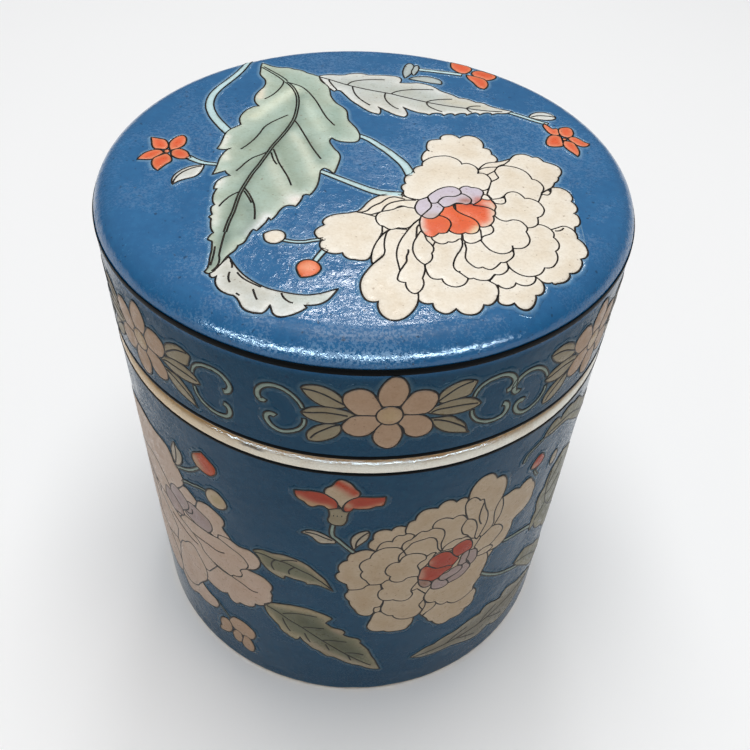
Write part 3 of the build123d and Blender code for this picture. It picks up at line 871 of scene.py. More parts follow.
# ---------------------------------------------------------------------------------------------
# Leaves and stems on the lid, with two buds: the same enamels, thinner and more washed out, with
# paler edges. The big folded leaf reaches nearly across, and the stems run in under the petals.
LID_LEAVES = [
    ("turquoise", "-26.9,40.3 -27.6,36.6 -28.6,33.3 -30,30 -31.6,26.5 -32.6,23 -32.6,19 -31.4,15.2 "
                  "-29.6,12 -27.2,8.6", (1.1, 1.9)),
    ("turquoise", "-2.4,9.9 0.2,8.2 2,6.3 3.8,4.3 5.5,2 6.8,0 7.6,-2 8.2,-4", (1.1, 1.9)),
    ("turquoise", "-9,-3.6 -6,-5.4 -3.5,-6.9 -1,-8.4 1,-9.5 3.2,-10.2 6.5,-10.4", (1.0, 1.7)),
    ("turquoise", "-33.6,-0.9 -31.5,-2.3 -30,-2.8 -27,-3", (1.3, 0.7)),
    ("turquoise", "-13.6,-25.3 -11.8,-25.7 -10,-25.6 -8.6,-25.1 -6.6,-24.6", 0.7),
    ("turquoise", "-6.4,-27.4 -7.3,-29.2 -8,-31", (1.1, 0.9)),
    ("turquoise", "20,37.4 17,38 15,38.3 12.5,38.7 9.5,39", 1.1),
    ("turquoise", "28.4,21.8 31.5,20.1 33.5,18.9 36.5,17.4", 0.9),
    ("white", "-30.2,-3.4! -31.5,-3.7 -33,-4.4 -34.3,-5.8 -35.1,-7.5 -35.2,-9 -34.8,-10.3! -34,-9.2 "
              "-32.8,-8.3 -31.5,-7.6 -30.7,-6.5 -30.3,-5"),
    ("line", "-30.6,-3.9 -32.5,-5 -34,-6.7 -34.7,-8.5 -34.8,-10"),
    ("cream", "-17,-23.8! -15.8,-22.9 -14.7,-22.7 -13.7,-23.2 -13.3,-24.2 -13.6,-25.4 -14.5,-26.3 "
              "-15.6,-26.4 -16.5,-25.8 -16.9,-24.8"),
    ("orange", "-9.9,-35! -10.6,-33.5 -10.8,-32.2 -10.3,-31 -9.3,-30.4 -8.1,-30.6 -7.2,-31.4 -6.8,-32.5 "
               "-7.2,-33.7 -8.2,-34.6"),
    ("wash", "-9,-32.3", 1.6, paint(252, 170, 132), 0.9),
    ("grey", "8.2,34.3! 9.6,35.4 12,35.8 14,35.2 15.3,34 15.3,32.5! 12.5,33 10.5,33.6"),
    ("grey", "7.4,34.6! 7,37 7.3,39.5 7.9,41.2 8.8,41.7 9.5,40.6 9.4,38.5 8.4,36"),
    ("grey", "9.3,39.3! 9.8,40.7 10.4,40.9 10.6,39.6 10.1,37.5 9.2,36.2"),
    ("white", "32.9,20! 34,21.6 35.8,22.2 37.5,21.6 38.5,20.3! 37.8,19.3 36,19 34.3,19.3"),
    ("line", "33.4,20 35,20.6 36.8,20.6 38.4,20.3"),
    ("white", "-11.3,33.7! -9,34.6 -7,34.6 -5.6,34.8! -4.3,35.5 -2.3,35.8 -0.5,35.2! 1.7,35.4 3.7,35.4 "
              "5.7,35.1 6.6,34.2 6.3,32.3! 8.2,32.4 10.5,32.6 13,31.6 14.8,29.7! 15.8,29 17.5,27.9 "
              "18.8,26.7! 20.5,26.4 22.2,25.2! 23.6,25 25,23.9! 27,22.9 29.6,22! 28.5,21.2 27.5,20.9 "
              "26.5,20.9 25.2,20.2! 25,20.9 23.8,20.8 22.7,19.9! 22.2,20.7 21.2,20.5 20,19.5! 19.6,20.3 "
              "18.4,20 17.5,19.2! 17,20 16.2,19.8 15.2,19! 14.7,19.8 13.3,19.8 12.3,19! 11.5,19.5 "
              "10.3,19.7 9,20.3 7.6,21.2 6.9,21.9! 7.5,20.4 7.8,18.8 7.2,17.7! 5.5,18.3 4,19.4 2.6,20.6 "
              "1.7,21.5! 2.3,20.2 2.1,18.4! 0.5,18.9 -1,20.2 -2.4,21.8 -4,23.7 -5.3,25.9 -6.6,27.7 "
              "-7.6,27.2! -9,29"),
    ("line", "-11,33.3 -8.5,32 -6.5,30.9 -3.7,29.6 0,28.3 4.2,27.1 8,25.6 12,24.1 16,23 20,22.3 24,21.7 "
             "27.5,21.6"),
    ("line", "-4.9,30.2 -4,31.6 -2.5,32.4 0,33 3,33.2"),
    ("line", "4.5,27.1 5.6,28.2 7.5,29 10,29.5 13.5,29.7"),
    ("line", "11.8,24.2 13,25 15,25.6 17.3,25.9"),
    ("line", "20.2,22.4 21.5,23.3 23.2,23.5"),
    ("line", "-3.8,29.6 -3.5,27.5 -2.8,25.5 -1.5,23.5 0.1,21.8"),
    ("line", "3.3,27.3 3.1,25.5 3.7,23.5 5,21.5 6,20.8"),
    ("line", "11.9,24.1 12.2,22.6 13.5,21.3 15,20.5"),
    ("line", "20.2,22.2 20.6,21.3 21.2,20.8"),
    ("line", "-9,32 -8.2,30 -7,27.8"),
    ("wash", "-5,31 2,29.5 8,28 13,26", 1.7, paint(190, 196, 188), 0.75),
    ("wash", "-1,27 6,24.5 12,22.3 18,21.4", 0.9, paint(204, 208, 198), 0.6),
    ("wash", "17,25 24,23", 1.4, paint(214, 210, 190), 0.7),
    ("white", "-22,-30.4! -21.4,-31.5 -20.3,-33.3 -19,-35 -17.5,-36.4 -15.9,-37.5 -14.3,-38.3 -12.5,-38.8 "
              "-10.5,-39.2 -8.5,-39.3 -6.8,-38.9 -5.3,-38.2 -3.8,-37.4! -4.4,-38.7 -5.1,-40 -6,-41 "
              "-7.3,-41.6 -8.9,-41.7! -8.4,-42.3! -9.6,-43.4 -11,-44.3 -12.5,-44.6 -13.4,-44 -13.8,-43 "
              "-14.1,-41.9! -14.5,-43.2 -15.1,-43.9! -16.5,-43.8 -17.7,-43.3 -18.6,-42.3! -19.2,-41 "
              "-20,-40.1! -21,-39.8 -22.2,-39 -23,-37.8 -23.3,-36.5 -23.2,-35.4! -23.9,-36 -24.4,-35! "
              "-23.4,-33.3 -22.7,-31.8"),
    ("line", "-21.6,-31.5 -21.2,-32.5 -21.1,-33.4"),
    ("line", "-21.3,-34.5 -21.3,-36 -20.9,-37.1"),
    ("line", "-20.1,-34.5 -19,-35.9 -17.5,-37 -15.9,-37.9"),
    ("line", "-17.1,-38.5 -16.7,-39.8 -16.2,-41"),
    ("line", "-12.6,-39.1 -12.1,-40.3 -11.2,-41.2 -10.6,-41.4"),
    ("line", "-19.6,-39.6 -19,-40.1"),
    ("wash", "-12,-39.9 -8,-40.4 -5.5,-39.6", 1.1, paint(196, 206, 198), 0.8),
    ("wash", "-21,-34 -19,-37.5 -15.5,-39.5", 1.1, paint(206, 208, 200), 0.6),
    ("green", "-24,38.5! -23.2,38.2 -21.9,37.4 -20,36.8 -18,36.9 -16.8,36.3! -15,35.9 -13.8,34.9 "
              "-12.5,34.3 -11.1,33.5! -10.5,31.3 -9.5,30 -8.8,28.7 -8.5,27.2 -8.2,25.2 -7.6,23.5 -6.7,21.9 "
              "-5.5,20.6 -4.7,19.3 -4.4,17.5 -4.2,15.6 -3.4,14 -2.5,12.4 -1.9,10.6 -1.7,9.6 -1.8,8 "
              "-2.3,7.2 -3.8,6.9 -5.5,7.1 -6.5,7.6 -7.1,8.3! -7.5,7 -7,5.5 -6.3,4 -5.6,3 -5.2,1.5 -5.3,0 "
              "-5.6,-2 -6,-4.3! -6.5,-4 -7.2,-3.2 -8,-2.7! -8.6,-3.6 -8.7,-5.5 -8.8,-7.5 -9.1,-9.3 "
              "-9.6,-10.8 -10.1,-11.8! -10.8,-11.6 -11.3,-12.1! -11.5,-13.4 -12,-14.8 -12.3,-15.5! "
              "-13.3,-15.2 -14.3,-15.7 -15,-17 -15.3,-18 -15.8,-19.2 -16.2,-19.9! -16.7,-19.1! -17,-20.5 "
              "-17.6,-21.8 -18.3,-23.1! -18.9,-22.7! -19.3,-23.7 -19.6,-25 -20,-26.5 -20.9,-27.4! "
              "-21.2,-28.7 -21.9,-29.8 -22.3,-30.5 -22.8,-32 -23.6,-33.8! -24.5,-35 -25.3,-34.6! -24.9,-33 "
              "-25,-31 -25,-29 -25.3,-26.6! -26.1,-26.1! -25.9,-25 -25.4,-24.2! -26,-23 -26.3,-21.5 "
              "-26.4,-20.2! -26.9,-19.7! -26.4,-18.9! -26.9,-17 -26.4,-16! -26.9,-15 -27.1,-13 -26.7,-11! "
              "-27.3,-11.2! -27.3,-10 -27,-8.5 -26,-7.2 -24.9,-6.6! -25.6,-6 -26.1,-5.1! -27.2,-5.8 "
              "-28.3,-6.6! -28,-5 -27.8,-3 -27.7,-1 -27.3,0.7 -26.6,2.4 -26,2.9! -27.3,2.2 -28.7,2.5! "
              "-28.3,4 -28.1,6 -27.9,8 -27.6,8.9 -27.1,9.8 -26.3,10.7 -25.3,11.8! -25.8,13.5 -25.8,15 "
              "-25.3,16.8 -24.4,18.3 -23.3,19.3 -22.5,19.4! -23.3,20.5 -23.8,22 -23.8,24 -23.2,26 "
              "-22.5,27.7 -22.3,29.3 -22.6,31 -23.4,32.3 -23.9,33.5 -24,35.5 -24.1,37"),
    ("vein", "-23.6,36.6 -21.5,34.5 -19.3,32.2 -18.1,30.5", (0.5, 0.8)),
    ("vein", "-18,30.2 -16.8,28.6 -15.8,26.5 -15.1,24 -14.8,21 -14.8,18 -15,15 -15.4,13 -15.9,11 -16.6,8.8 "
             "-17.4,6.5 -18.3,4 -18.9,1.7 -19.5,-0.5 -20.2,-3 -21,-5.5 -21.6,-8 -22.1,-10.3 -22.5,-12.5 "
             "-22.7,-15 -22.9,-18 -23.3,-21 -23.5,-24", (0.5, 0.45)),
    ("line", "-23.5,-24 -23.6,-27 -23.6,-30.4"),
    ("line", "-17.7,30 -16,29.3 -14.5,28.3 -13,26.3 -11.8,24 -10.7,21.5 -9.7,18.7 -8.6,16 -7.5,14 "
             "-6.8,12.9"),
    ("line", "-18.5,30.3 -18.7,28.5 -19.3,26.5 -20.3,24.3 -21.8,22.4"),
    ("line", "-16.4,16.2 -17.6,15 -19.4,13 -20.6,11 -21.3,8.5 -22.2,6 -23.2,4 -24.2,2.5"),
    ("line", "-14.8,14 -13.8,12 -12.8,9.5 -11.8,7 -10.9,4.7 -9.9,2.5 -8.8,0.3"),
    ("line", "-18.9,2.2 -20.2,0.8 -21.5,-0.3 -22.7,-2.2 -23.5,-4 -24.1,-5.1"),
    ("line", "-18,3 -17.3,0.8 -16.6,-1.5 -15.5,-4 -14.5,-6.3 -13.6,-9.1"),
    ("line", "-18.3,1.8 -17.6,-0.8 -16.8,-2.3"),
    ("line", "-22.6,-11.8 -24,-13.2 -25,-15 -25.6,-16.6"),
    ("line", "-22,-10.4 -21,-12 -20.2,-13.8 -19.6,-15.5 -19.2,-17.7 -19,-20"),
    ("line", "-21.8,-11.5 -20.8,-13.5 -20.1,-15.1"),
    ("line", "-23.6,-30.4 -23.4,-32.5 -24.2,-34.4"),
    ("line", "-24.6,-28 -24.5,-30.5 -24.6,-33"),
    ("wash", "-16,27 -19,22 -23,15", 1.6, paint(226, 236, 216), 0.9),
    ("wash", "-22.7,23 -23,27", 0.9, paint(246, 238, 220), 0.9),
    ("wash", "-13.5,22 -11.5,17 -9.3,11", 1.3, paint(204, 220, 204), 0.85),
    ("wash", "-15,9 -12.5,4 -9.7,-5", 1.2, paint(218, 228, 212), 0.8),
    ("wash", "-18,-1 -16,-7 -13.3,-13", 1.5, paint(214, 224, 210), 0.7),
    ("wash", "-12.4,-13.6", 1.7, paint(250, 246, 242), 1.0),
    ("wash", "-27.3,1 -26.5,-1", 1.0, paint(240, 244, 232), 0.8),
    ("wash", "-26.6,-8.8 -27,-10", 1.1, paint(244, 248, 242), 0.95),
    ("wash", "-27.4,7 -27.8,3.5", 0.8, paint(244, 246, 238), 0.9),
    ("wash", "-26.3,-16 -25.6,-22", 0.9, paint(236, 240, 232), 0.8),
    ("wash", "-17,-19 -19,-23.6", 1.1, paint(242, 246, 246), 0.9),
    ("wash", "-23.2,-25 -23.8,-29 -24.4,-33", 1.1, paint(128, 148, 138), 0.8),
    ("wash", "-21,-14 -20.5,-20", 1.2, paint(158, 178, 166), 0.6),
    ("wash", "-19.5,33.5 -21.5,36", 1.0, paint(170, 182, 164), 0.6),
    ("wash", "-7,20 -6.5,10 -8,2", 1.4, paint(152, 178, 164), 0.6),
    ("wash", "-17,4 -14.5,-3 -12,-9", 1.2, paint(152, 172, 156), 0.6),
    ("wash", "-15.6,12 -17.4,6 -19.6,-1 -21.6,-8 -22.9,-17 -23.5,-26", 1.3, paint(122, 142, 130), 0.65),
    ("wash", "-14.4,24 -14.2,18 -14.6,13", 1.2, paint(134, 156, 144), 0.6),
    ("wash", "-19.8,12 -22,7 -24,3", 1.1, paint(140, 160, 148), 0.6),
    ("wash", "-12,8 -10,3 -8.6,-1", 1.0, paint(136, 156, 144), 0.6),
    ("wash", "-23,-4 -24.5,-6", 1.2, paint(140, 158, 148), 0.6),
    ("wash", "-20.4,-16 -19.4,-20 -20.8,-24", 1.3, paint(126, 146, 136), 0.6),
]
on_the_lid("lid_leaves", "lid_leaf", LID_LEAVES, "green_enamel")

# ---------------------------------------------------------------------------------------------
# Three small orange flowers at the lid's edge, of the same fired enamel, laid petal by petal over
# the ends of the stems.
SMALL_FLOWERS = [("coral", petal) for petal in (
    "-38.3,1.3! -39.5,1.4 -40.4,1.5 -41.1,2.8 -41.4,4 -41.8,5.5! -40.3,5.2 -39,4.8 -38.2,3.6 -37.9,2.3",
    "-37.3,1.2! -37.9,3 -37.8,4.5 -37,6 -36,6.7 -35.3,6.2 -34.9,4.8 -35,3.3 -35.8,2",
    "-38.4,0.1! -39,1 -40.2,1.1 -41.3,0.4 -42.1,-0.5 -42.8,-2.5! -41.2,-2.5 -40,-2.2 -39.1,-1",
    "-37,1! -36,1.8 -35,1.6 -34,0.8 -33.4,-0.5 -33,-1.3! -34,-1.6 -35.2,-1.7 -36.2,-1.2 -36.9,-0.3",
    "-37.8,0! -37,-0.8 -36.5,-1.8 -36.5,-2.8 -37.3,-4 -38.3,-6! -39.3,-5 -39.9,-3.5 -39.9,-2 -39,-0.9",
    "-38.5,0.8 -37.9,1.4 -37.3,0.8 -37.9,0.1",
    "18,43.6! 17.8,41 18.4,39.5 19.5,38.3 20.8,38 22,39.2 22.4,40.6 21.4,42.4!",
    "22.2,38.3! 23,39.5 24.5,39.8 26,39.1 27.4,38.3! 27.5,36.8 26.5,35.7 25.3,35.2 23.8,35.2",
    "21,37.5! 21.3,35.8 22.3,34 23.2,32 24.5,31.2! 25.3,32.5 25.5,34 25,35.6 23.5,36.6",
    "38.5,12.6! 37.3,13.2 36.2,12.7 35.5,11.3 35.2,9.8 35.5,8.9! 36.3,8.6 37.3,8.7 38.4,9.1 38.6,10.5",
    "38.3,13.2! 37,13.2 36.3,13.8 35.8,15 35.4,16.5 35.8,17.7! 36.6,16.5 37.3,15.6 38,15.8 38.4,15",
    "38.6,13! 38.3,14.5 38.6,15.8 39.6,16.4 40.8,16.3 41.3,15 41.1,13.5 40.2,12.4",
    "39.8,12! 41,12.8 42.2,12 43,11 43.9,10.4! 43.2,9.3 42,9.2 40.8,10.2",
    "38.8,11! 38.6,9.3 39.2,7.8 40.2,6.4 40.8,5.3! 41.4,7 41.2,9 40.6,10.6",
    "38.6,11.7 39.1,12.2 39.6,11.7 39.1,11.2",
)]
on_the_lid("lid_small_flowers", "lid_small_flower", SMALL_FLOWERS, "orange_enamel")

# ---------------------------------------------------------------------------------------------
# Border on the cap's skirt: one flower-and-scroll motif, painted seven times round by hand, so
# the spaces between them are not quite equal.
BORDER_HEIGHT = 100.3  # mm up to the middle of the motif
BORDER_LINE = 0.00036  # m across a trailed line
# How far round each motif starts, and how much higher than the rest it sits (mm)
MOTIFS = [(0, 0), (43.3, -1), (89, -0.5), (134.5, 0), (180.5, -0.5), (226.5, 0), (272.2, -1.5)]
BORDER = [
    ("pale", "-8.8,0.4 -9.3,1.7 -10.5,3.2 -12,4.2 -13.5,4.5 -15,4 -16.1,2.9 -16.4,1.5 -15.8,0.4 "
             "-15.2,0.9", (0.7, 1.1)),
    ("pale", "-8.6,-1.9 -8.7,-3.3 -9.5,-4.7 -11,-5.7 -12.7,-6.1 -14.2,-5.4 -15,-4.2 -15.1,-3.1 -14.4,-2.4 "
             "-13.5,-2.7", (0.7, 1.1)),
    ("pale", "19.2,1.7 19.7,3.3 21,4.5 22.8,5 24.5,4.9 26,4 26.8,2.5 26.4,1.2 25.4,0.7", (0.7, 1.1)),
    ("pale", "19.2,-1.4 19.5,-3 20.6,-4.5 22.3,-5.5 24,-5.8 25.7,-5.3 26.3,-4 26,-2.8 "
             "25.2,-2.3", (0.7, 1.1)),
    ("sage", "-1.9,1.9! -2.5,4 -4,5.5 -6,6.3 -8,6.1 -9,5.3! -8.4,4.1 -7,2.6 -5.4,1.7 -3.5,1.5"),
    ("line", "-9,5 -7.3,5.1 -5.3,4.5 -3.5,3.4 -2.2,2.5"),
    ("sage", "-0.3,0.2! -1.8,1.1 -4,1.6 -6,1.5 -7.8,0.9 -9.1,-0.4! -8.3,-1.4 -6.6,-2.1 -4.7,-2.3 -3,-1.8 "
             "-1.5,-0.8"),
    ("line", "-9,-0.4 -7.3,-0.1 -5.2,0.3 -3.3,0.2 -1.5,-0.1"),
    ("sage", "-2.7,-2.4! -4,-2.3 -5.3,-2.5 -7,-3.6 -8.2,-5.3 -8,-7.1! -6.3,-7.1 -4.3,-6.1 -3,-4.9 "
             "-2.5,-3.5"),
    ("line", "-7.6,-6.5 -6.6,-5 -5.2,-3.8 -3.8,-2.8 -2.9,-2.5"),
    ("sage", "12.9,2.7! 13.3,4.5 15,5.8 16.8,6.3 18.5,5.9 19.3,5.4! 18.8,3.9 18.3,2.7 16,2.2 13.5,1.9"),
    ("line", "13,2.5 14.5,3.9 16.3,5.1 18.5,5.6"),
    ("sage", "11,0.2! 12.5,1.3 15,2.1 17.5,2.1 19.5,1.2 20.7,-0.3! 19.4,-1 17,-1.4 14.5,-1.2 12.3,-0.4"),
    ("line", "12,0 13,0.5 15,0.6 17.5,0.5 20,0"),
    ("sage", "11.9,-1.4! 13.5,-1.5 15.5,-1.7 17,-3 18.3,-4.5 18.9,-6.3 19.4,-7! 17.3,-6.4 15,-5.5 "
             "13.3,-4.1 12.4,-2.7"),
    ("line", "12.5,-1.9 14.2,-2.4 16.2,-3.6 18.3,-5.4 18.9,-6.5"),
    ("blush", "4,2.2! 3.2,3.7 3.2,5.7 4,7.7 5.2,8.9 6.6,8.7 7.6,7.3 8,5.5 7.6,3.7 6.7,2.2!"),
    ("blush", "3.9,2! 3,4.1 2,5.7 0.5,6.3 -1,5.9 -2.1,4.9 -2.4,3.5 -1.9,2.1 -0.9,0.9 0,0.2 3,0.1!"),
    ("blush", "3,0.1! 0,0.1 -1,-0.3 -2,-1.5 -2.5,-2.8 -2,-4 -0.8,-4.8 0.5,-5 1.8,-4.6 2.7,-3.7 4,-1.8!"),
    ("blush", "4,-1.8! 3,-3.3 2.6,-5 3,-6.5 4,-7.6 5.3,-8.1 6.5,-7.5 7.3,-6 7.5,-4.3 7.1,-2.8 6.4,-1.8!"),
    ("blush", "6.6,-2! 7.6,-3.3 7.9,-4.5 9,-5.4 10.2,-5.7 11.5,-5.3 12.4,-4.3 12.5,-2.9 12,-1.7 11,-0.6 "
              "9.5,0 7.4,0.1!"),
    ("blush", "6.8,2! 7.9,4.2 8.8,5.3 10.2,5.6 11.6,5.2 12.6,4.3 12.9,3 12.5,1.5 11.5,0.2 10,-0.1 "
              "7.4,0.3!"),
    ("blush", "5.2,2.3 3.65,1.65 3,0.1 3.65,-1.45 5.2,-2.1 6.75,-1.45 7.35,0.1 6.75,1.65"),
    ("wash", "5.2,0.1", 2.0, paint(246, 232, 200), 0.9),
]


def repeated(name, laying):
    """The laying tree with a motif set at every point of the mesh before it is laid."""
    tree, given, result = tree_of(name, **number_inputs(laying), finish="Material", motif="Object")
    link = tree.links.new
    motif = tree.nodes.new("GeometryNodeObjectInfo")
    link(given.outputs["motif"], motif.inputs["Object"])
    copies = tree.nodes.new("GeometryNodeInstanceOnPoints")
    link(given.outputs["Geometry"], copies.inputs["Points"])
    link(motif.outputs["Geometry"], copies.inputs["Instance"])
    real = tree.nodes.new("GeometryNodeRealizeInstances")
    link(copies.outputs[0], real.inputs[0])
    laid = run_inside(tree, given, laying, real.outputs[0])
    link(given.outputs["finish"], laid.inputs["finish"])
    link(laid.outputs[0], result.inputs["Geometry"])
    return tree


def all_round(name, mesh, laying, slot, finish, thick=0.0, **sizes):
    """Fires a mesh of the motif onto the skirt at all its places."""
    places = bpy.data.meshes.new(name + "_places")
    places.from_pydata([(along / 1000, (BORDER_HEIGHT + rise) / 1000, 0) for along, rise in MOTIFS], [], [])
    motif = backed(name + "_motif", mesh, thick)
    fired(name, places, repeated(name + "_all_round", laying), "cap_lid", slot, motif=motif, finish=finish,
          wall_radius=wall_radius, **sizes)
    bpy.data.objects.remove(motif)


border_sheet, border_lines, border_halo = painted(BORDER, LID_GRID)
all_round("border", border_sheet, sheet_on_wall, "cream_enamel", shaded_wall_enamel, ENAMEL_BACK)
all_round("border_lines", border_lines, line_on_wall, "dark_line", line_finish,
          bead_width=BORDER_LINE, bead_height=BEAD_HEIGHT)
all_round("border_halo", border_halo, sheet_on_wall, "blue_glaze", halo_finish, ENAMEL_BACK)

# ---------------------------------------------------------------------------------------------
# The dark rings that edge the border and the jar's shoulder: banded on with a full brush while
# the piece turned, so they wander a little in height.
RING_PROUD = 0.0002  # m across the ring's section, in and out
RING_WANDER = 0.0004  # m, how far it wanders up and down
RINGS = (  # name, body, height and width (m)
    ("ring_top", "cap_lid", 0.1101, 0.0014),
    ("ring_rim", "cap_lid", 0.0896, 0.0009),
    ("ring_shoulder", "jar", 0.0851, 0.0009),
)

band_finish, _, shader = new_material("banded_black")
shader.inputs["Base Color"].default_value = paint(3, 4, 5)
shader.inputs["Roughness"].default_value = 0.4
shader.inputs["Specular IOR Level"].default_value = 0.04

ring_tree, given, result = tree_of("banded_ring", ring_radius="Float", ring_height="Float",
                                   band_width="Float", proud="Float", wander="Float", finish="Material")
add, link = ring_tree.nodes.new, ring_tree.links.new
circle = add("GeometryNodeCurvePrimitiveCircle")
circle.inputs["Resolution"].default_value = 360
link(given.outputs["ring_radius"], circle.inputs["Radius"])
noise = add("ShaderNodeTexNoise")
noise.inputs["Scale"].default_value = 45.0
noise.inputs["Detail"].default_value = 1.0
swing = math_node(ring_tree, "SUBTRACT", noise.outputs[0], 0.5)
swing = math_node(ring_tree, "MULTIPLY", swing, given.outputs["wander"])
offset = add("ShaderNodeCombineXYZ")
link(math_node(ring_tree, "ADD", swing, given.outputs["ring_height"]), offset.inputs["Z"])
lift = add("GeometryNodeSetPosition")
link(circle.outputs[0], lift.inputs["Geometry"])
link(offset.outputs[0], lift.inputs["Offset"])
stroke = bead_along(ring_tree, lift.outputs[0], given.outputs["proud"], given.outputs["band_width"],
                    sides=8)
fire(ring_tree, given, result, stroke)

for name, body, height, width in RINGS:
    fired(name, bpy.data.meshes.new(name), ring_tree, body, "dark_line", ring_radius=wall_radius,
          ring_height=height, band_width=width, proud=RING_PROUD, wander=RING_WANDER, finish=band_finish)

# ---------------------------------------------------------------------------------------------
# Sprays round the jar's wall, in the same enamels: a peony in front with a lily bud beside it, a
# pinker peony to the left, leaves that curl away to the right, and the same plants again behind.
WALL_LINE = 0.00038  # m across a trailed line
WALL_GRID = 0.7  # mm between the points inside a patch

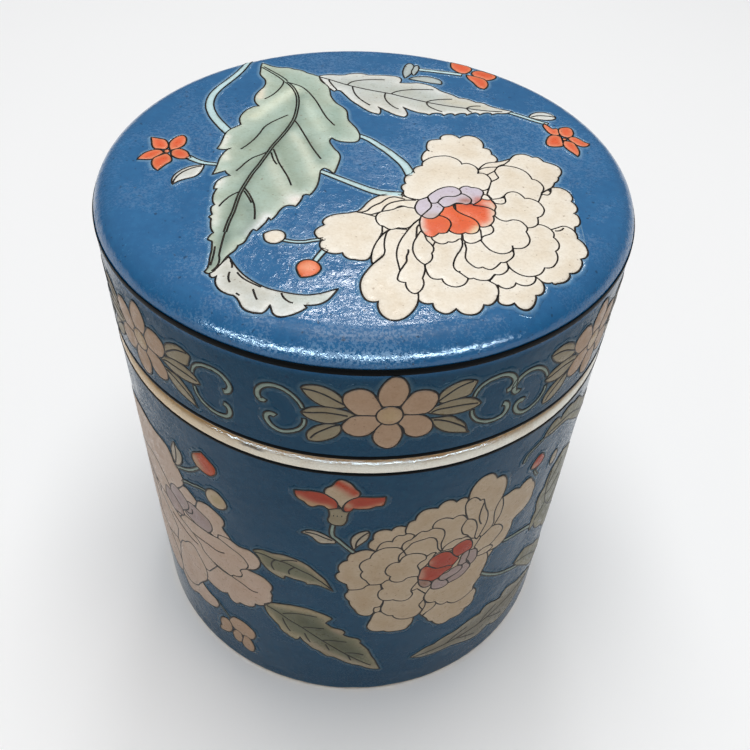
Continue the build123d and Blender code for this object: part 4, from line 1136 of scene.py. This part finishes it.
JAR_PEONY = [
    ("cream", "5,60 12,66 20,70 24,72 28,68 31,62 35,58 33,52 29,42 27,32 20,31 17.3,35.5 13,35 9,32 6,35 "
              "2,42 1,47 2,56"),
    ("cream", "30.7,68.2! 32,68.3 33.5,68.6 34.7,68! 35.4,67.6! 36.6,68.7 38,68.7 38.9,67.8 39.5,66.6! "
              "40.5,65.2 41,63.5 40.8,62! 40.9,60.5 40.2,58.8 38.9,57.6 37,57 35.8,56.3! 35.9,54.5 "
              "35.5,52.5 34.8,50.6 33.3,49.3 31,49.3 29.5,49.5! 28,52! 29,60!"),
    ("cream", "30.6,68.3! 31.2,66.4 31.4,64.2 31.2,62 30.7,60.6 30,59! 28.5,60! 29,67!"),
    ("cream", "22.2,72.4! 22.1,74 22.4,75.8 23.1,77.3 23.9,78.2! 25,78.6 26.2,78.5 27.2,77.6 27.9,76.1! "
              "28.7,76.2 29.7,75.7 30.5,74.3 30.9,72.5 30.9,70.5 30.5,68.5 29.8,66.7 29.4,64.5 29.6,62 "
              "29.8,60.2 29.2,58.9! 27.2,57.2! 25,60! 23,68!"),
    ("cream", "4.6,61! 3.9,61.7 3.2,62.5 3.2,64 4,65.2! 3.9,66.3 4.3,67.5 5.3,68.2 6.4,68.3 7.3,67.8! "
              "7.7,68.6 8.6,69.1 9.4,68.9 10.1,68.5! 10,67 10.3,66.2! 9,62!"),
    ("cream", "10.3,66.2! 10,67 10.2,68.8 10.7,70 11.7,70.3! 11.8,71.3 12.3,72.4 13.4,73.2 14.7,73.2 "
              "15.9,72.8! 16.2,73.6 17,74.4 18,74.5 19,74 19.5,73.2! 20.3,73.8 21.3,73.8 22.1,72.8! "
              "21.7,71.3 21.8,70 22.1,68.4 22.7,66.6! 20,63! 12,64!"),
    ("cream", "4.7,61.1! 5,62.6 5.7,63.9 6.8,64.3 7.7,64! 8,65.3 8.8,66 9.6,65.8 10.3,66.2! 11.2,66 "
              "11.9,65.2! 10,60! 7,60!"),
    ("cream", "15.4,66.5! 15.5,67.8 16.2,68.7 17.5,69 18.7,68.5 19.4,67.9! 20.3,68.4 21.3,68.2 22,67.5 "
              "22.8,66! 22.2,65 21.8,63.6 22,62.3 22.5,61.1 23.5,60.2 24.4,59! 22,56! 18,57! 17,62!"),
    ("cream", "10,60.5! 9.7,61.3 9.7,62.4 10.2,63.4 11.2,63.9! 11.9,64.7 12.8,65.9 13.5,66.2! 14.5,65.9 "
              "15.5,66.4 16.8,65.9 17.8,65 18.2,63.5 18.1,62 17.8,60.5 17.9,59 18.4,57.5! 14,57!"),
    ("cream", "22.2,72.4! 23.2,72.8 24.1,72.2 24.9,70.9! 25.7,70.9 26,70 26.7,67.5 27.5,65.5 27.8,63.7 "
              "27.7,61.5 27.2,59.8 26.7,58.2 26.2,57! 24,60! 23,65.6! 22.6,66.8 22.1,68.4 21.8,70 "
              "21.7,71.3"),
    ("line", "26,69.6 25.6,67.5 25.5,65.5 25.8,63.8 26.4,62.3"),
    ("cream", "22.7,66! 23.8,65.5 24.7,64.5 25.3,63 25.6,61.3 25.5,59.5 25.5,57.8! 24.3,58.6! 23.5,60.2 "
              "22.5,61.1 22,62.3 21.8,63.6 22.2,65"),
    ("cream", "10.1,60.3! 10.9,61.5 11.6,62.6 12.8,63.1 14,63.3 15,63.5 16.1,62.9 16.8,61.5 17,60 "
              "17.3,58.6 18.1,57.4! 15,56! 11,58!"),
    ("cream", "-0.4,47! -0.6,45.8! -1.1,44.7 -0.9,43.4 -0.2,42.3! -0.1,41.2 0.4,39.8 1,38.9! 1.3,37.9 "
              "2,36.8 3,36.2 4.2,36.2 4.9,36.9! 5.2,38 5.2,39.5! 6.3,39.8 6.8,41 7,42.2! 6,49.5! 3,50!"),
    ("cream", "4.5,61! 3,61.7 1.9,61.5 0.5,60.7 -0.4,60 -0.8,58.8 -0.8,57.8! -1.7,57.2 -2.4,56 -2.6,54.7 "
              "-2.3,53.4! -2.9,52.7 -3.1,51.5 -2.6,50.3 -1.6,49.4 -0.8,48.9! -0.7,47.8 -0.3,46.8! 1.5,47 "
              "2.6,47.5 3.2,48.4 4,48.8! 4,58!"),
    ("cream", "5.2,39.4! 5.1,38 5.6,37.2 6.3,37.6 6.6,38.8 6.4,39.8!"),
    ("cream", "6.4,37.6! 5.5,37.3 4.9,36 4.6,34.5 4.2,33 3.9,31.3 4.5,29.8 5.7,29.1 7.7,29! 8.5,28.3 "
              "10,28.1 11.5,28.1 12.7,28.4 13.3,29.3! 13.9,30.5 14.1,31.8 14.1,33! 10,36!"),
    ("cream", "16.2,32.4! 17.2,31 17.8,29.5 18.8,28.7! 19.4,27.5 20.4,26.3 21.7,25.8 22.9,26 23.6,26.6! "
              "25,26.5 26.2,26.7 27,27.7 27.3,28.5! 28.5,29 29.3,30.3 29.2,32! 29.5,34 29,35.5 28.2,36.3! "
              "24,38! 19,37!"),
    ("cream", "16.3,38.4! 17.4,37.6 18.5,37.5! 19,36.6 18.6,35.3 17.7,34.3 16.8,33.5 16.2,32.4! 15.5,33.8! "
              "16,35.5"),
    ("cream", "7,42! 6.9,40.5 6.6,39 6.8,37.5 7.6,36.3 8.5,35.5 9.3,35.4! 9.6,34.6 10.5,33.6 12,33 13.5,33 "
              "14.7,33.4 15.6,34.4 15.9,35.7 15.6,36.8 15,37.8! 15.4,38.8 15.9,39.7! 15.8,40.6 16.1,42! "
              "14,45! 10,43!"),
    ("cream", "15.9,39.6! 16.3,38.6 16.4,37 16,35.5! 15.3,36.8 15,37.8! 15.4,38.8"),
    ("cream", "16.1,42! 15.9,40.5 16.4,38.8 17.5,37.6 18.7,37.4! 19.5,36 20.6,35.1 21.8,35.4! 22.8,34.2 "
              "24,33.6 25.7,33.8 27,34.6 28.4,35.8! 28.3,37.5 29,38.8 29.8,40! 29.9,41.8 30.3,43.4 "
              "30.6,45.5 30.5,47.5 30,49.3! 28,52! 25,47! 20,45! 17.3,45!"),
    ("cream", "7.9,50.2! 7.1,50 6.3,49.1 6.3,48 6.7,46.9! 6,46.3 5.7,45 5.9,43.6 6.7,42.4 7.8,42 9,42.1! "
              "10.2,41.3 11.2,41 12.3,41.4 13,42.5 13.1,43.6! 12.7,44.6 12.9,45.8! 14,48! 13.5,51! 9,51!"),
    ("cream", "4.7,61.1! 5.3,61.6 6.3,62.1 7.3,62.1 8.6,61.9 9.5,61.3 10.1,60.2! 9.4,59.2 9.2,58 9.5,56.5! "
              "9.5,52! 7.8,50.2! 7.1,50 6.3,49 5,48.7 3.9,48.8! 3.5,49.5 3,50.5 2.2,51.5 1.9,52.7 "
              "2.3,53.8! 1.8,54.9 1.6,56 2,57.3 2.8,58.2 3.6,58.7! 4,60.2"),
    ("cream", "9.5,56.4! 9.7,57.2 10.1,58.1 11,58.8 12.2,58.9 13.4,58.5 14.5,57.7 15.1,56.6! 14.9,55.8 "
              "14,55.2 13.4,54.2 13.6,53.2 14,52.2 13.9,50! 12.3,50.2! 11.3,49.9 10.8,49.2 9.7,49 8.7,49.3 "
              "7.9,50.2 8,51.5! 7.2,52.3 6.8,53.5 7,54.8 7.6,55.9 8.5,56.5"),
    ("cream", "15,56.6! 14.9,55.8 14,55.2 13.4,54.2 13.6,53.2 14,52.2! 15,53.2! 15.7,54.3 16.2,55.6! "
              "17,57.4! 16,57.6"),
    ("cream", "18.3,57.4! 18.7,58.8 19.8,59.7 21,60.1 22.2,59.7! 23.2,59.7 24.1,59.1 24.9,57.6! 22,57!"),
    ("cream", "27.2,57.2! 28.3,57.9 29.2,58.9 30.4,59 31.6,58.3 32.6,57 33.1,55.6 32.6,54.4 31.7,53.4! "
              "31,52.5 30,51.9 28.5,51.9 27.4,51.3! 26,54.3!"),
    ("cream", "27.3,51.3! 28.3,51.9 29.8,51.9! 31,51.2 31.2,50.2 30,49.5 28.4,49.6 27.2,50!"),
    ("red", "20.6,57! 21.4,57.9 22.6,58.5 23.9,58.4 24.9,57.3 25.3,56 25.2,54.4 24.2,54! 22,53.2! "
            "20.8,55!"),
    ("red", "16.1,55.5! 17,56.3 18.3,56.8 19.8,56.4 20.7,55.3 21.2,54.3! 22.6,52.6! 22,51.4 21.4,50.5! "
            "18.5,50.5! 16.8,52 15.9,53 15.7,54.3"),
    ("wash", "16,54", 0.9, paint(240, 190, 175), 0.8),
    ("red", "14,50.2! 14.1,51.3 14.4,52.5 15.3,53.1 16.2,52.4 17.4,51.4 18.8,51 20,51 21.4,50.5! 20.9,49.4 "
            "19.7,48.7 18.8,47.5 17.8,46.9 16.7,46.6 15.6,46.5 14.9,47.2 14,48.5"),
    ("wash", "14.3,51.5 14.4,49", 0.9, paint(240, 200, 185), 0.9),
    ("lilac", "14,48.5! 14.2,46.8 14.7,45.6 15.6,44.8 16.6,44.9 17.1,46! 16.5,47!"),
    ("wash", "15.4,46.6", 2.0, paint(190, 150, 130), 0.8),
    ("lilac", "22.6,50! 22.9,51 23,52 23.2,53 24,53.9 25,54 25.2,53! 24.9,51.8 24.6,50.6 24.9,49.4! "
              "23.6,49.2"),
    ("lilac", "24.9,53.8! 26,53.6 26.8,52.9 27.1,51.5 27.2,50 26.8,48.8 26,48! 25.5,48.8 25.1,49.8 "
              "24.6,50.6 24.9,51.8"),
    ("lilac", "20.3,45.3! 21.1,43.7! 22.5,43.9 24,44.5 25.2,45.8 25.9,47.4 25.4,48.6 24.9,49.4! 23.7,49 "
              "23.8,47.8 23,46.8 22,46.2"),
    ("lilac", "18.7,46.6! 18,46.9 17.3,46.2 17.1,45 17.3,43.5 18.3,42.8 19.5,42.6 20.6,43 21.1,43.8! "
              "20.8,44.8 20.2,45.5! 19.3,45.7"),
    ("lilac", "18.7,46.5! 18.8,47.6 19.6,48.2 20.5,48.4 21.4,49.2 22.6,49.5 23.6,49 23.9,48 23.2,46.9 "
              "22.2,46.3 21,45.9 20.2,45.5! 19.3,45.7"),
]
LEFT_PEONY = [
    ("pink", "-60,66 -48,70 -41,66 -39,60 -30,58 -28,54 -22,50 -24,46 -19,42 -20,35 -27,32 -38,32 -38,22 "
             "-46,20 -56,24 -66,36 -68,56"),
    ("pink", "-72,52! -70,60 -66,66 -60,70.5 -54,72.8 -49,72.6! -46,72 -43.8,72 -41.6,71.5 -40.5,70.1 "
             "-39.9,67.9! -38.6,66.8 -37.7,64.6 -37.7,62.9 -38.6,60.9 -39.7,59.6 -40.8,58.2! -45,52! "
             "-60,46!"),
    ("pink", "-38.3,61.5! -37,62.2 -36.1,61.8 -35,61 -34.1,60.2! -34.8,58! -38,56! -40.8,58.2! -39.6,59.6"),
    ("pink", "-34.1,60! -33,61.2 -30.8,61.8 -28.8,61.2 -27.2,60.1 -26.9,58.4 -27.6,56.8! -27.2,55.9 "
             "-26.1,54.6 -25.8,53.7! -29,51! -35,52! -35,57!"),
    ("pink", "-29.1,52.9! -26.1,53.7 -23.8,52.9 -21.3,53.2 -19.7,52.1 -19,50.1 -19.7,47.6 -21.3,45.9! "
             "-24,44! -30,48!"),
    ("pink", "-40,50! -37,50.4 -34.4,50.7 -31.6,50.9 -28.8,51.5 -26.3,50.7 -23.6,49.6 -22.2,47.6 "
             "-22.2,46.2! -23,44.6! -24.3,43.4 -23.9,42.2 -24.4,40.8 -26.4,39.7! -27,38.8! -33,40! "
             "-44,44!"),
    ("line", "-40,45.2 -37,45.6 -35,45.9 -32.4,46.2 -30.2,46.1 -28,47.1"),
    ("pink", "-22.5,45.2! -20.8,45.2 -18.9,44.9 -17.5,43.8 -16.7,42.2 -17.2,39.9! -16.9,38.5 -17.1,37.4 "
             "-17.2,35.8 -18.6,33.6! -20,32.2 -21.4,31.9! -21.9,30.2 -23.6,29.1 -25.6,28.8! -26.9,27.4 "
             "-28.3,28 -29,29.9! -30.5,28.6 -32.5,28.4 -34.4,28.8! -38,30! -37,40! -33,40! -30.8,39.1 "
             "-28.3,38.7 -27,38.8! -26.4,39.7! -24.4,40.8 -23.9,42.2 -24.3,43.4"),
    ("line", "-27,38.8 -24.2,38.3 -21.9,37.3 -20.3,37.6"),
    ("pink", "-50,52! -46,48.6 -42,46.8 -38,45.4 -35.6,43.6 -35,41.9 -33.3,40.5 -31,39.1! -34,34! -44,32! "
             "-52,38!"),
    ("line", "-45.4,45 -41.6,43.6 -38.8,42.6 -36.4,42.4"),
    ("pink", "-60,50! -55,49 -50,46 -46.4,42.6 -44.6,39.4! -46,34! -56,30! -64,36!"),
    ("pink", "-68,50! -62,49.6 -57,46 -54.4,40! -56,32! -64,28! -70,34! -72,44!"),
    ("pink", "-58,34! -54,33.6 -50,31 -47.4,26 -46.6,21! -48,17.6 -51,16.4! -54,17.4 -57,20! -61,23 "
             "-63,28!"),
    ("pink", "-38,25! -36.5,23.7 -35,22.8 -33.3,22.2 -32.8,20.2 -33.9,18 -35.6,16.9 -38.9,16.1! -40.8,16.3 "
             "-43,14.4 -45,14.1 -46.1,15.5 -47.5,18! -46,24!"),
    ("pink", "-45.6,31! -44.6,34 -43.4,36 -42.2,36.9 -40.8,38.6 -39.4,39.4 -38.1,39.1 -36.7,36.9 "
             "-35.6,34.7 -35.1,32.4 -35.3,30! -35.8,28 -37.8,25 -39.4,22.2! -41,19.8 -44,18! -46.8,20! "
             "-46.6,26!"),
    ("pink", "-52,60! -49,60 -46,58 -44,55.4 -43,52.4! -46,49! -54,50! -60,56!"),
    ("lilac", "-38,56.5! -36.5,57.5 -34.7,57.4 -32.6,56.8 -31.3,56.2 -30.6,54.6 -30.8,52.9 -31.9,51.2 "
              "-33,50.9 -35.5,50.6! -39,51.5! -39.5,54!"),
    ("line", "-38.6,52.6 -36.6,53.6 -36.2,55.6"),
    ("lilac", "-42.4,58.2! -40.6,58.6 -38.6,57.8 -37.4,56 -38,53.6! -40,51.4! -43,52.4! -44,55.4"),
    ("lilac", "-46.5,53.6! -44.4,54.4 -42,53.4 -40,51.2 -40.4,49! -44,47.4! -47.4,50!"),
    ("wash", "-42,50", 2.5, paint(206, 182, 176), 0.7),
]
LILY = [
    ("pale", "-3.6,69.7 -3.9,67.5 -3.7,65.8 -2.8,64.8 -1.5,63 -0.3,61.5 0.5,60.5", 0.9),
    ("white", "-9.8,65.5! -8.8,66.6 -7.5,66.9 -6,66.5 -4.6,65.6 -3.2,64.3! -3.3,63.5 -4.6,63.3 -6,63 "
              "-7,63.7 -7.6,64.6 -8.6,65.3"),
    ("line", "-9,66 -7,65.9 -5.3,65.1 -3.8,64.4"),
    ("white", "0.3,61.5! -0.1,63 -0.3,64.5 0,66 1,67.3 2.2,68 2.9,68! 3.2,66.8 2.8,65.2 1.9,63.9 1,62.8"),
    ("line", "0.7,62.5 0.9,64.5 1.8,66.3 2.9,67.5"),
    ("red", "-1.9,74.8! -1.6,76.5 -0.7,77.8 0.3,78.6 2,78.7 4,78.6 5.7,78.7! 5.7,77.3 5.3,76 4.2,75.9 "
            "3,75.2 1.5,75 0,75.1! -0.6,74.2 -1.3,74"),
    ("wash", "-1,76", 0.8, paint(240, 214, 190), 0.9),
    ("wash", "1,75.1 4,76 5.4,76.6", 0.6, paint(240, 200, 170), 0.8),
    ("cream", "-2.1,74.8! -2.5,75.4 -3.2,76.8 -4,77.9 -5.1,78.7 -5.3,79.6 -5,80.6 -4,81.5 -3.6,82.2 "
              "-3,83.2 -2.2,83.5 -1,82.9 -0.2,82 0.3,81 1,80.2 1,79 0.3,78.4! -0.7,77.7 -1.5,76.6"),
    ("wash", "-3.2,82.6 -1.4,81.4 0.4,79.6", 1.2, paint(226, 84, 44), 1.0),
    ("red", "-10.8,78.6! -9,79 -7,79.3 -5.3,79 -4.4,78.3 -3.5,77.6 -2.9,76.4 -2.9,75 -3.6,74.3 -4.5,74.4 "
            "-5.3,75.1! -6.3,75.2 -7.5,74.5 -8.5,74.9 -9.1,75.7 -10,76.2 -10.6,77"),
    ("wash", "-10,76.4 -7.4,75.2 -4.4,74.9", 1.0, paint(240, 218, 186), 0.95),
    ("sage", "-4.6,74.2! -4.4,72.5 -4.7,71 -4.1,69.9 -3,69.5 -1.9,69.7 -1.2,71 -1,73 -0.6,74.3! -1.7,74.1 "
             "-2.3,74.9 -3.5,74.7"),
    ("line", "-3.7,72.6 -3.5,72.6"),
    ("line", "-3,72.6 -2.8,72.6"),
    ("line", "-2.2,72.6 -2,72.6"),
]
# Either side of the left peony's foot
BIG_LEAVES = [
    ("leaf", "-3.5,45.7! -4.4,48 -5.2,50 -6.5,51.7 -7.5,53 -8.5,54.2 -10,55.2 -11.6,55.8 -13,56.1 -14.5,56 "
             "-16,55.5 -18.5,55.4 -20.5,53.8! -19.3,52.3 -18.8,50.7 -17.4,48.7 -15.5,47.5 -13.9,47! "
             "-13.5,48.4! -11.5,48 -9.5,47.8 -9,47! -7,47.5 -5.5,46.9"),
    ("line", "-20,53.6 -18,54 -16,53.6 -13,53.4 -10,52 -8.4,51.2 -7,50 -5.5,48.5 -4,46.5"),
    ("line", "-15.5,53.4 -16.4,51.6 -15.9,49.6"),
    ("line", "-11.4,52.6 -12.6,51 -12.6,49.6"),
    ("line", "-14.4,53.5 -12.6,54.8 -10.8,55"),
    ("wash", "-16,55.3 -12,55.4 -8,53.4 -5,49.6", 0.8, paint(220, 214, 198), 0.9),
    ("wash", "-17,49 -12,48.4 -7,47.8", 0.8, paint(214, 214, 200), 0.8),
    ("leaf", "-19,33.8! -17.1,35.4 -14.8,36.3 -12.1,37.1 -9,37.1 -6.8,36.4 -4.8,35.4 -3.7,34.3 -4.6,32.9 "
             "-5.1,32.1! -3.4,30.4 -1.8,29.9 -0.9,28.8 -1.2,27.5! 0.2,26.6 1.8,26 2.7,24.9 2.6,23.9! "
             "3.5,22.4 4.3,21 4.9,19.3 5.4,17.4 6.3,15.2 6.8,13.2 7.7,10.3! 6,10.7 4.3,11.6 2.9,12.7 "
             "1,13.5 -0.4,14.3 -2.1,15.7 -3.4,16.6 -4.8,16.8 -5.9,17.9 -6.8,18.8 -8.2,19.6 -9.3,21 "
             "-10.4,22.4 -10.9,23.8! -11.8,22.1 -12.9,22.4 -14.3,23.5 -15.4,24.6 -15.9,26.3 -17.1,27.9 "
             "-18.2,29.6 -18.9,31.6 -19,32.9"),
    ("line", "-18.4,33.5 -15.9,32.4 -13.7,30.7 -10.9,28.8 -8.4,26.6 -5.9,24.1 -3.4,21.6 -1.2,19.3 1,17.1 "
             "3.2,14.9 5.4,12.9"),
    ("line", "-14.6,32.4 -12.3,33.8 -10.1,34.3 -7,34.3"),
    ("line", "-10.1,28.8 -7.6,29.3 -5.4,29.6"),
    ("line", "-5.9,24.1 -4,24.6 -0.4,24.3"),
    ("line", "-0.7,19.1 1.6,19.1 3.5,18.2"),
    ("line", "-14.8,30.4 -14.3,28.2 -13.2,25.4"),
    ("line", "-9.8,26 -9.3,24.1 -8.6,22.4"),
    ("line", "-5.1,22.4 -4.3,19.9"),
    ("line", "-0.1,18.2 0.7,15.7"),
    ("wash", "-16,35.4 -9,36.2 -5,34.8", 1.2, paint(216, 212, 190), 0.9),
    ("wash", "-18,30 -14.5,25 -11.5,23.4", 1.6, paint(214, 214, 192), 0.9),
    ("wash", "-9,22.4 -4,18 1,14.4 5.6,11.6", 1.2, paint(216, 212, 200), 0.8),
    ("wash", "-3,29.6 -1.6,28.6", 1.0, paint(216, 204, 190), 0.8),
    ("wash", "-9.6,31.5 -4.6,27 -1.5,22.5 2,18", 1.8, paint(112, 126, 112), 0.8),
]
# With a small blossom, by the left peony
BUDS = [
    ("pale", "-31.6,73.2 -33.6,70.9 -35.5,69.3 -37.4,68.2 -39.4,66.9", 0.8),
    ("pale", "-30.6,66.6 -32.6,66.2 -34.1,65.5 -36.9,64.3 -37.9,63.2", 0.7),
    ("white", "-38.2,75.6! -39.2,74 -39.8,72.3 -39.8,69.8 -39.2,67.9! -38.3,68.2 -37.2,69.6 -36.4,72 "
              "-36.6,73.8 -37.4,74.4"),
    ("line", "-38.2,75 -38.2,72 -39,68.6"),
    ("orange", "-30.1,78.9! -28.6,77.8 -27.3,76.6 -27,75.2 -27.6,73.8 -29,72.7 -30.6,72.8 -32.2,73.6 "
               "-33,75.2 -32.7,76.8 -31.5,77.9"),
    ("wash", "-32.6,75.8 -31.6,73.8", 1.4, paint(232, 206, 178), 0.95),
    ("cream", "-28.6,62.9! -30.1,63.6 -30.8,65.2 -30.5,67 -29.4,68.3 -27.8,68.6 -26.4,67.6 -25.6,66 "
              "-25.8,64.6 -27,63.3"),
    ("wash", "-28,65.8", 1.6, paint(214, 208, 160), 0.7),
    ("pale", "-33.4,22.4 -31.8,20.6 -30.2,18.6 -28.9,17", 0.6),
    ("blush", "-29.6,14.8! -29.9,16.6 -29.2,18.3 -28.1,19.8 -25.8,20.2 -24.2,19.5! -23,18.4 -22.3,16.6! "
              "-22.7,14.8 -23.6,13.4 -25.4,12.8 -27.6,13.2"),
    ("blush", "-29.4,14.9! -30.4,16.4 -31.6,16 -32.6,14.8 -33.2,13 -33,10.8! -33.6,8.4 -32.2,8.8 -30.6,9.9 "
              "-29.4,12.2"),
    ("blush", "-28.3,13.6! -29.2,12 -29.4,10.3 -28.8,8.5 -27.2,8.4 -26.4,10.4 -26.4,12.4 -26.9,13.6"),
    ("blush", "-25.9,13.2! -26.4,11 -26.7,8.6 -25.6,6.9 -23.9,6.9 -23.1,9.1 -23.4,11.4 -24.4,13.3"),
    ("wash", "-26.2,14.4", 2.0, paint(204, 160, 120), 0.6),
]
# With their stems and two buds, right of the front peony
RIGHT_LEAVES = [
    ("pale", "34.5,49.6 38,48.6 40.5,47.7 43,46.5 46,44.5 49,42", (0.9, 1.2)),
    ("pale", "29.8,41.2 32,38.7 34.3,36.5 36.8,34.5 39.3,33 42,31.2 45,29.4", 0.9),
    ("pale", "34.6,76 35.2,78 37,79 39.5,80", 0.7),
    ("pale", "39,70.4 39.6,69 40.6,67.6", 0.6),
    ("red", "37.4,72! 38.2,74 39.6,74.9 41,73.8 41.4,72.2 40.2,71 38.7,71"),
    ("wash", "38,72", 1.0, paint(238, 214, 206), 0.9),
    ("white", "45,68.6! 45.6,70 46.8,70.2 47.6,68.6 47.2,66.8 46,66.2 45.1,67.2"),
    ("leaf", "39,80! 40,82 41.6,83.2 43.2,82.7 44,81.6! 45.2,83 47,83.2 49,82.2! 51.5,81.8 54,79.4 "
             "56.5,77! 60,76 64,72 67,67! 63,69 59,70 56,71.2! 53.4,73.6 50.5,76 48,78.2 45,79.3 42,79.4"),
    ("line", "40,80.6 44,80.6 48,79.8 52,77.4 56,74.2 61,71"),
    ("leaf", "48.4,63.4! 46.8,61 46.4,58! 44.8,56 44.6,53.4! 45.4,50.4! 44.4,47 45,43! 46.6,44.6! 48,41 "
             "51,38! 53,36.6! 55,33.4 59,30! 62,33! 64,38! 67,42! 66,48! 64,54! 61,58! 57,62! 52,65!"),
    ("line", "48,62 47.6,56.6 49.2,50.4 52.6,45.2 57,40.6 61,36"),
    ("line", "48.4,53.4 51.6,53 54.6,54.6"),
    ("line", "52.4,45.6 56,46.4 59.4,48.6"),
    ("line", "47.6,57 50.6,59.4 52.6,62"),
    ("line", "49.6,49.6 47.6,47.6 45.8,46.4"),
    ("leaf", "41.6,33.4! 43.4,35 45.4,35.6! 48,33.4 51,30.6! 54,28.4 57,25! 61,21 64,15! 59,15.4 56,16.4! "
             "52.6,19.4 49.6,23! 46.4,27 43.4,30.6!"),
    ("line", "42,33 46,31 50.6,27 55.6,21.4 60.6,17.6"),
    ("ash", "14.8,13.5! 16.5,15 18.7,16.5 20.5,16.8 21.5,17.6 23,18.3 26,19 28,20 30.5,20.8 33,20.4! "
            "34.3,22.5 36,22.2 38,21 40,20.2! 41,22.5 43,22 46,20 50,18.2! 53,16.4 56,13.6! 52,12 49,9.6! "
            "46,8 43.5,7.6 41.5,7.6 39.5,8.3 38,9.8! 36,9.9 34.5,9 32,9.2 30,10 28,11 25.5,11.9 23,12 "
            "20,12 17.5,12.2"),
    ("line", "15.5,13.4 24,14.5 35,15.5 46,16 53,14.4"),
    ("line", "24,14.5 26.4,16.6 29.4,17.8"),
    ("line", "33.4,15.4 35.6,17.6 38.4,19"),
    ("line", "26.6,14.7 29.6,13 32.4,11.6"),
    ("line", "36,15.5 39,13 42,11"),
    ("wash", "20,14.6 30,15 42,15.4", 2.0, paint(160, 164, 158), 0.8),
]


def moved(drawing, across, up=0.0, flip=False):
    """The same drawing further round the wall, or mirrored there."""
    def there(word):
        x, y = (float(v) for v in word.rstrip("!").split(","))
        return f"{across - x if flip else across + x:g},{y + up:g}" + "!" * word.endswith("!")
    return [(kind, " ".join(there(word) for word in path.split()), *more) for kind, path, *more in drawing]


BACK_STEMS = [
    ("pale", "67.3,42.6 73,42.4 79,44.6 84.6,49 90,54", (1.2, 0.8)),
    ("pale", "76,43.2 81,40 86,36.4 91.4,33.6", 0.8),
    ("pale", "225.3,58 230,56.4 236,54 243,54.6 251.5,56", (0.8, 1.2)),
    ("pale", "223.8,38 229,42.4 233,48 236.6,53.8", 0.8),
]
BACK_SPRAY = [
    *BACK_STEMS,
    *moved(BIG_LEAVES, 205, 4, flip=True),
    *moved(LILY, 122, 1, flip=True),
    *moved(BIG_LEAVES, 110),
    *moved(JAR_PEONY, 175, -6, flip=True),
    *moved(BUDS, 212, 3, flip=True),
]
SPRAYS = (
    ("jar_peony", JAR_PEONY, "cream_enamel"),
    ("left_peony", LEFT_PEONY, "cream_enamel"),
    ("jar_leaves", LILY + BIG_LEAVES + BUDS + RIGHT_LEAVES, "green_enamel"),
    ("back_spray", BACK_SPRAY, "cream_enamel"),
)
for name, drawing, slot in SPRAYS:
    enamelled(drawing, WALL_GRID, (name, name + "_lines", name + "_halo"), "jar", slot,
              (sheet_on_wall, line_on_wall), shaded_wall_enamel, WALL_LINE, wall_radius=wall_radius)
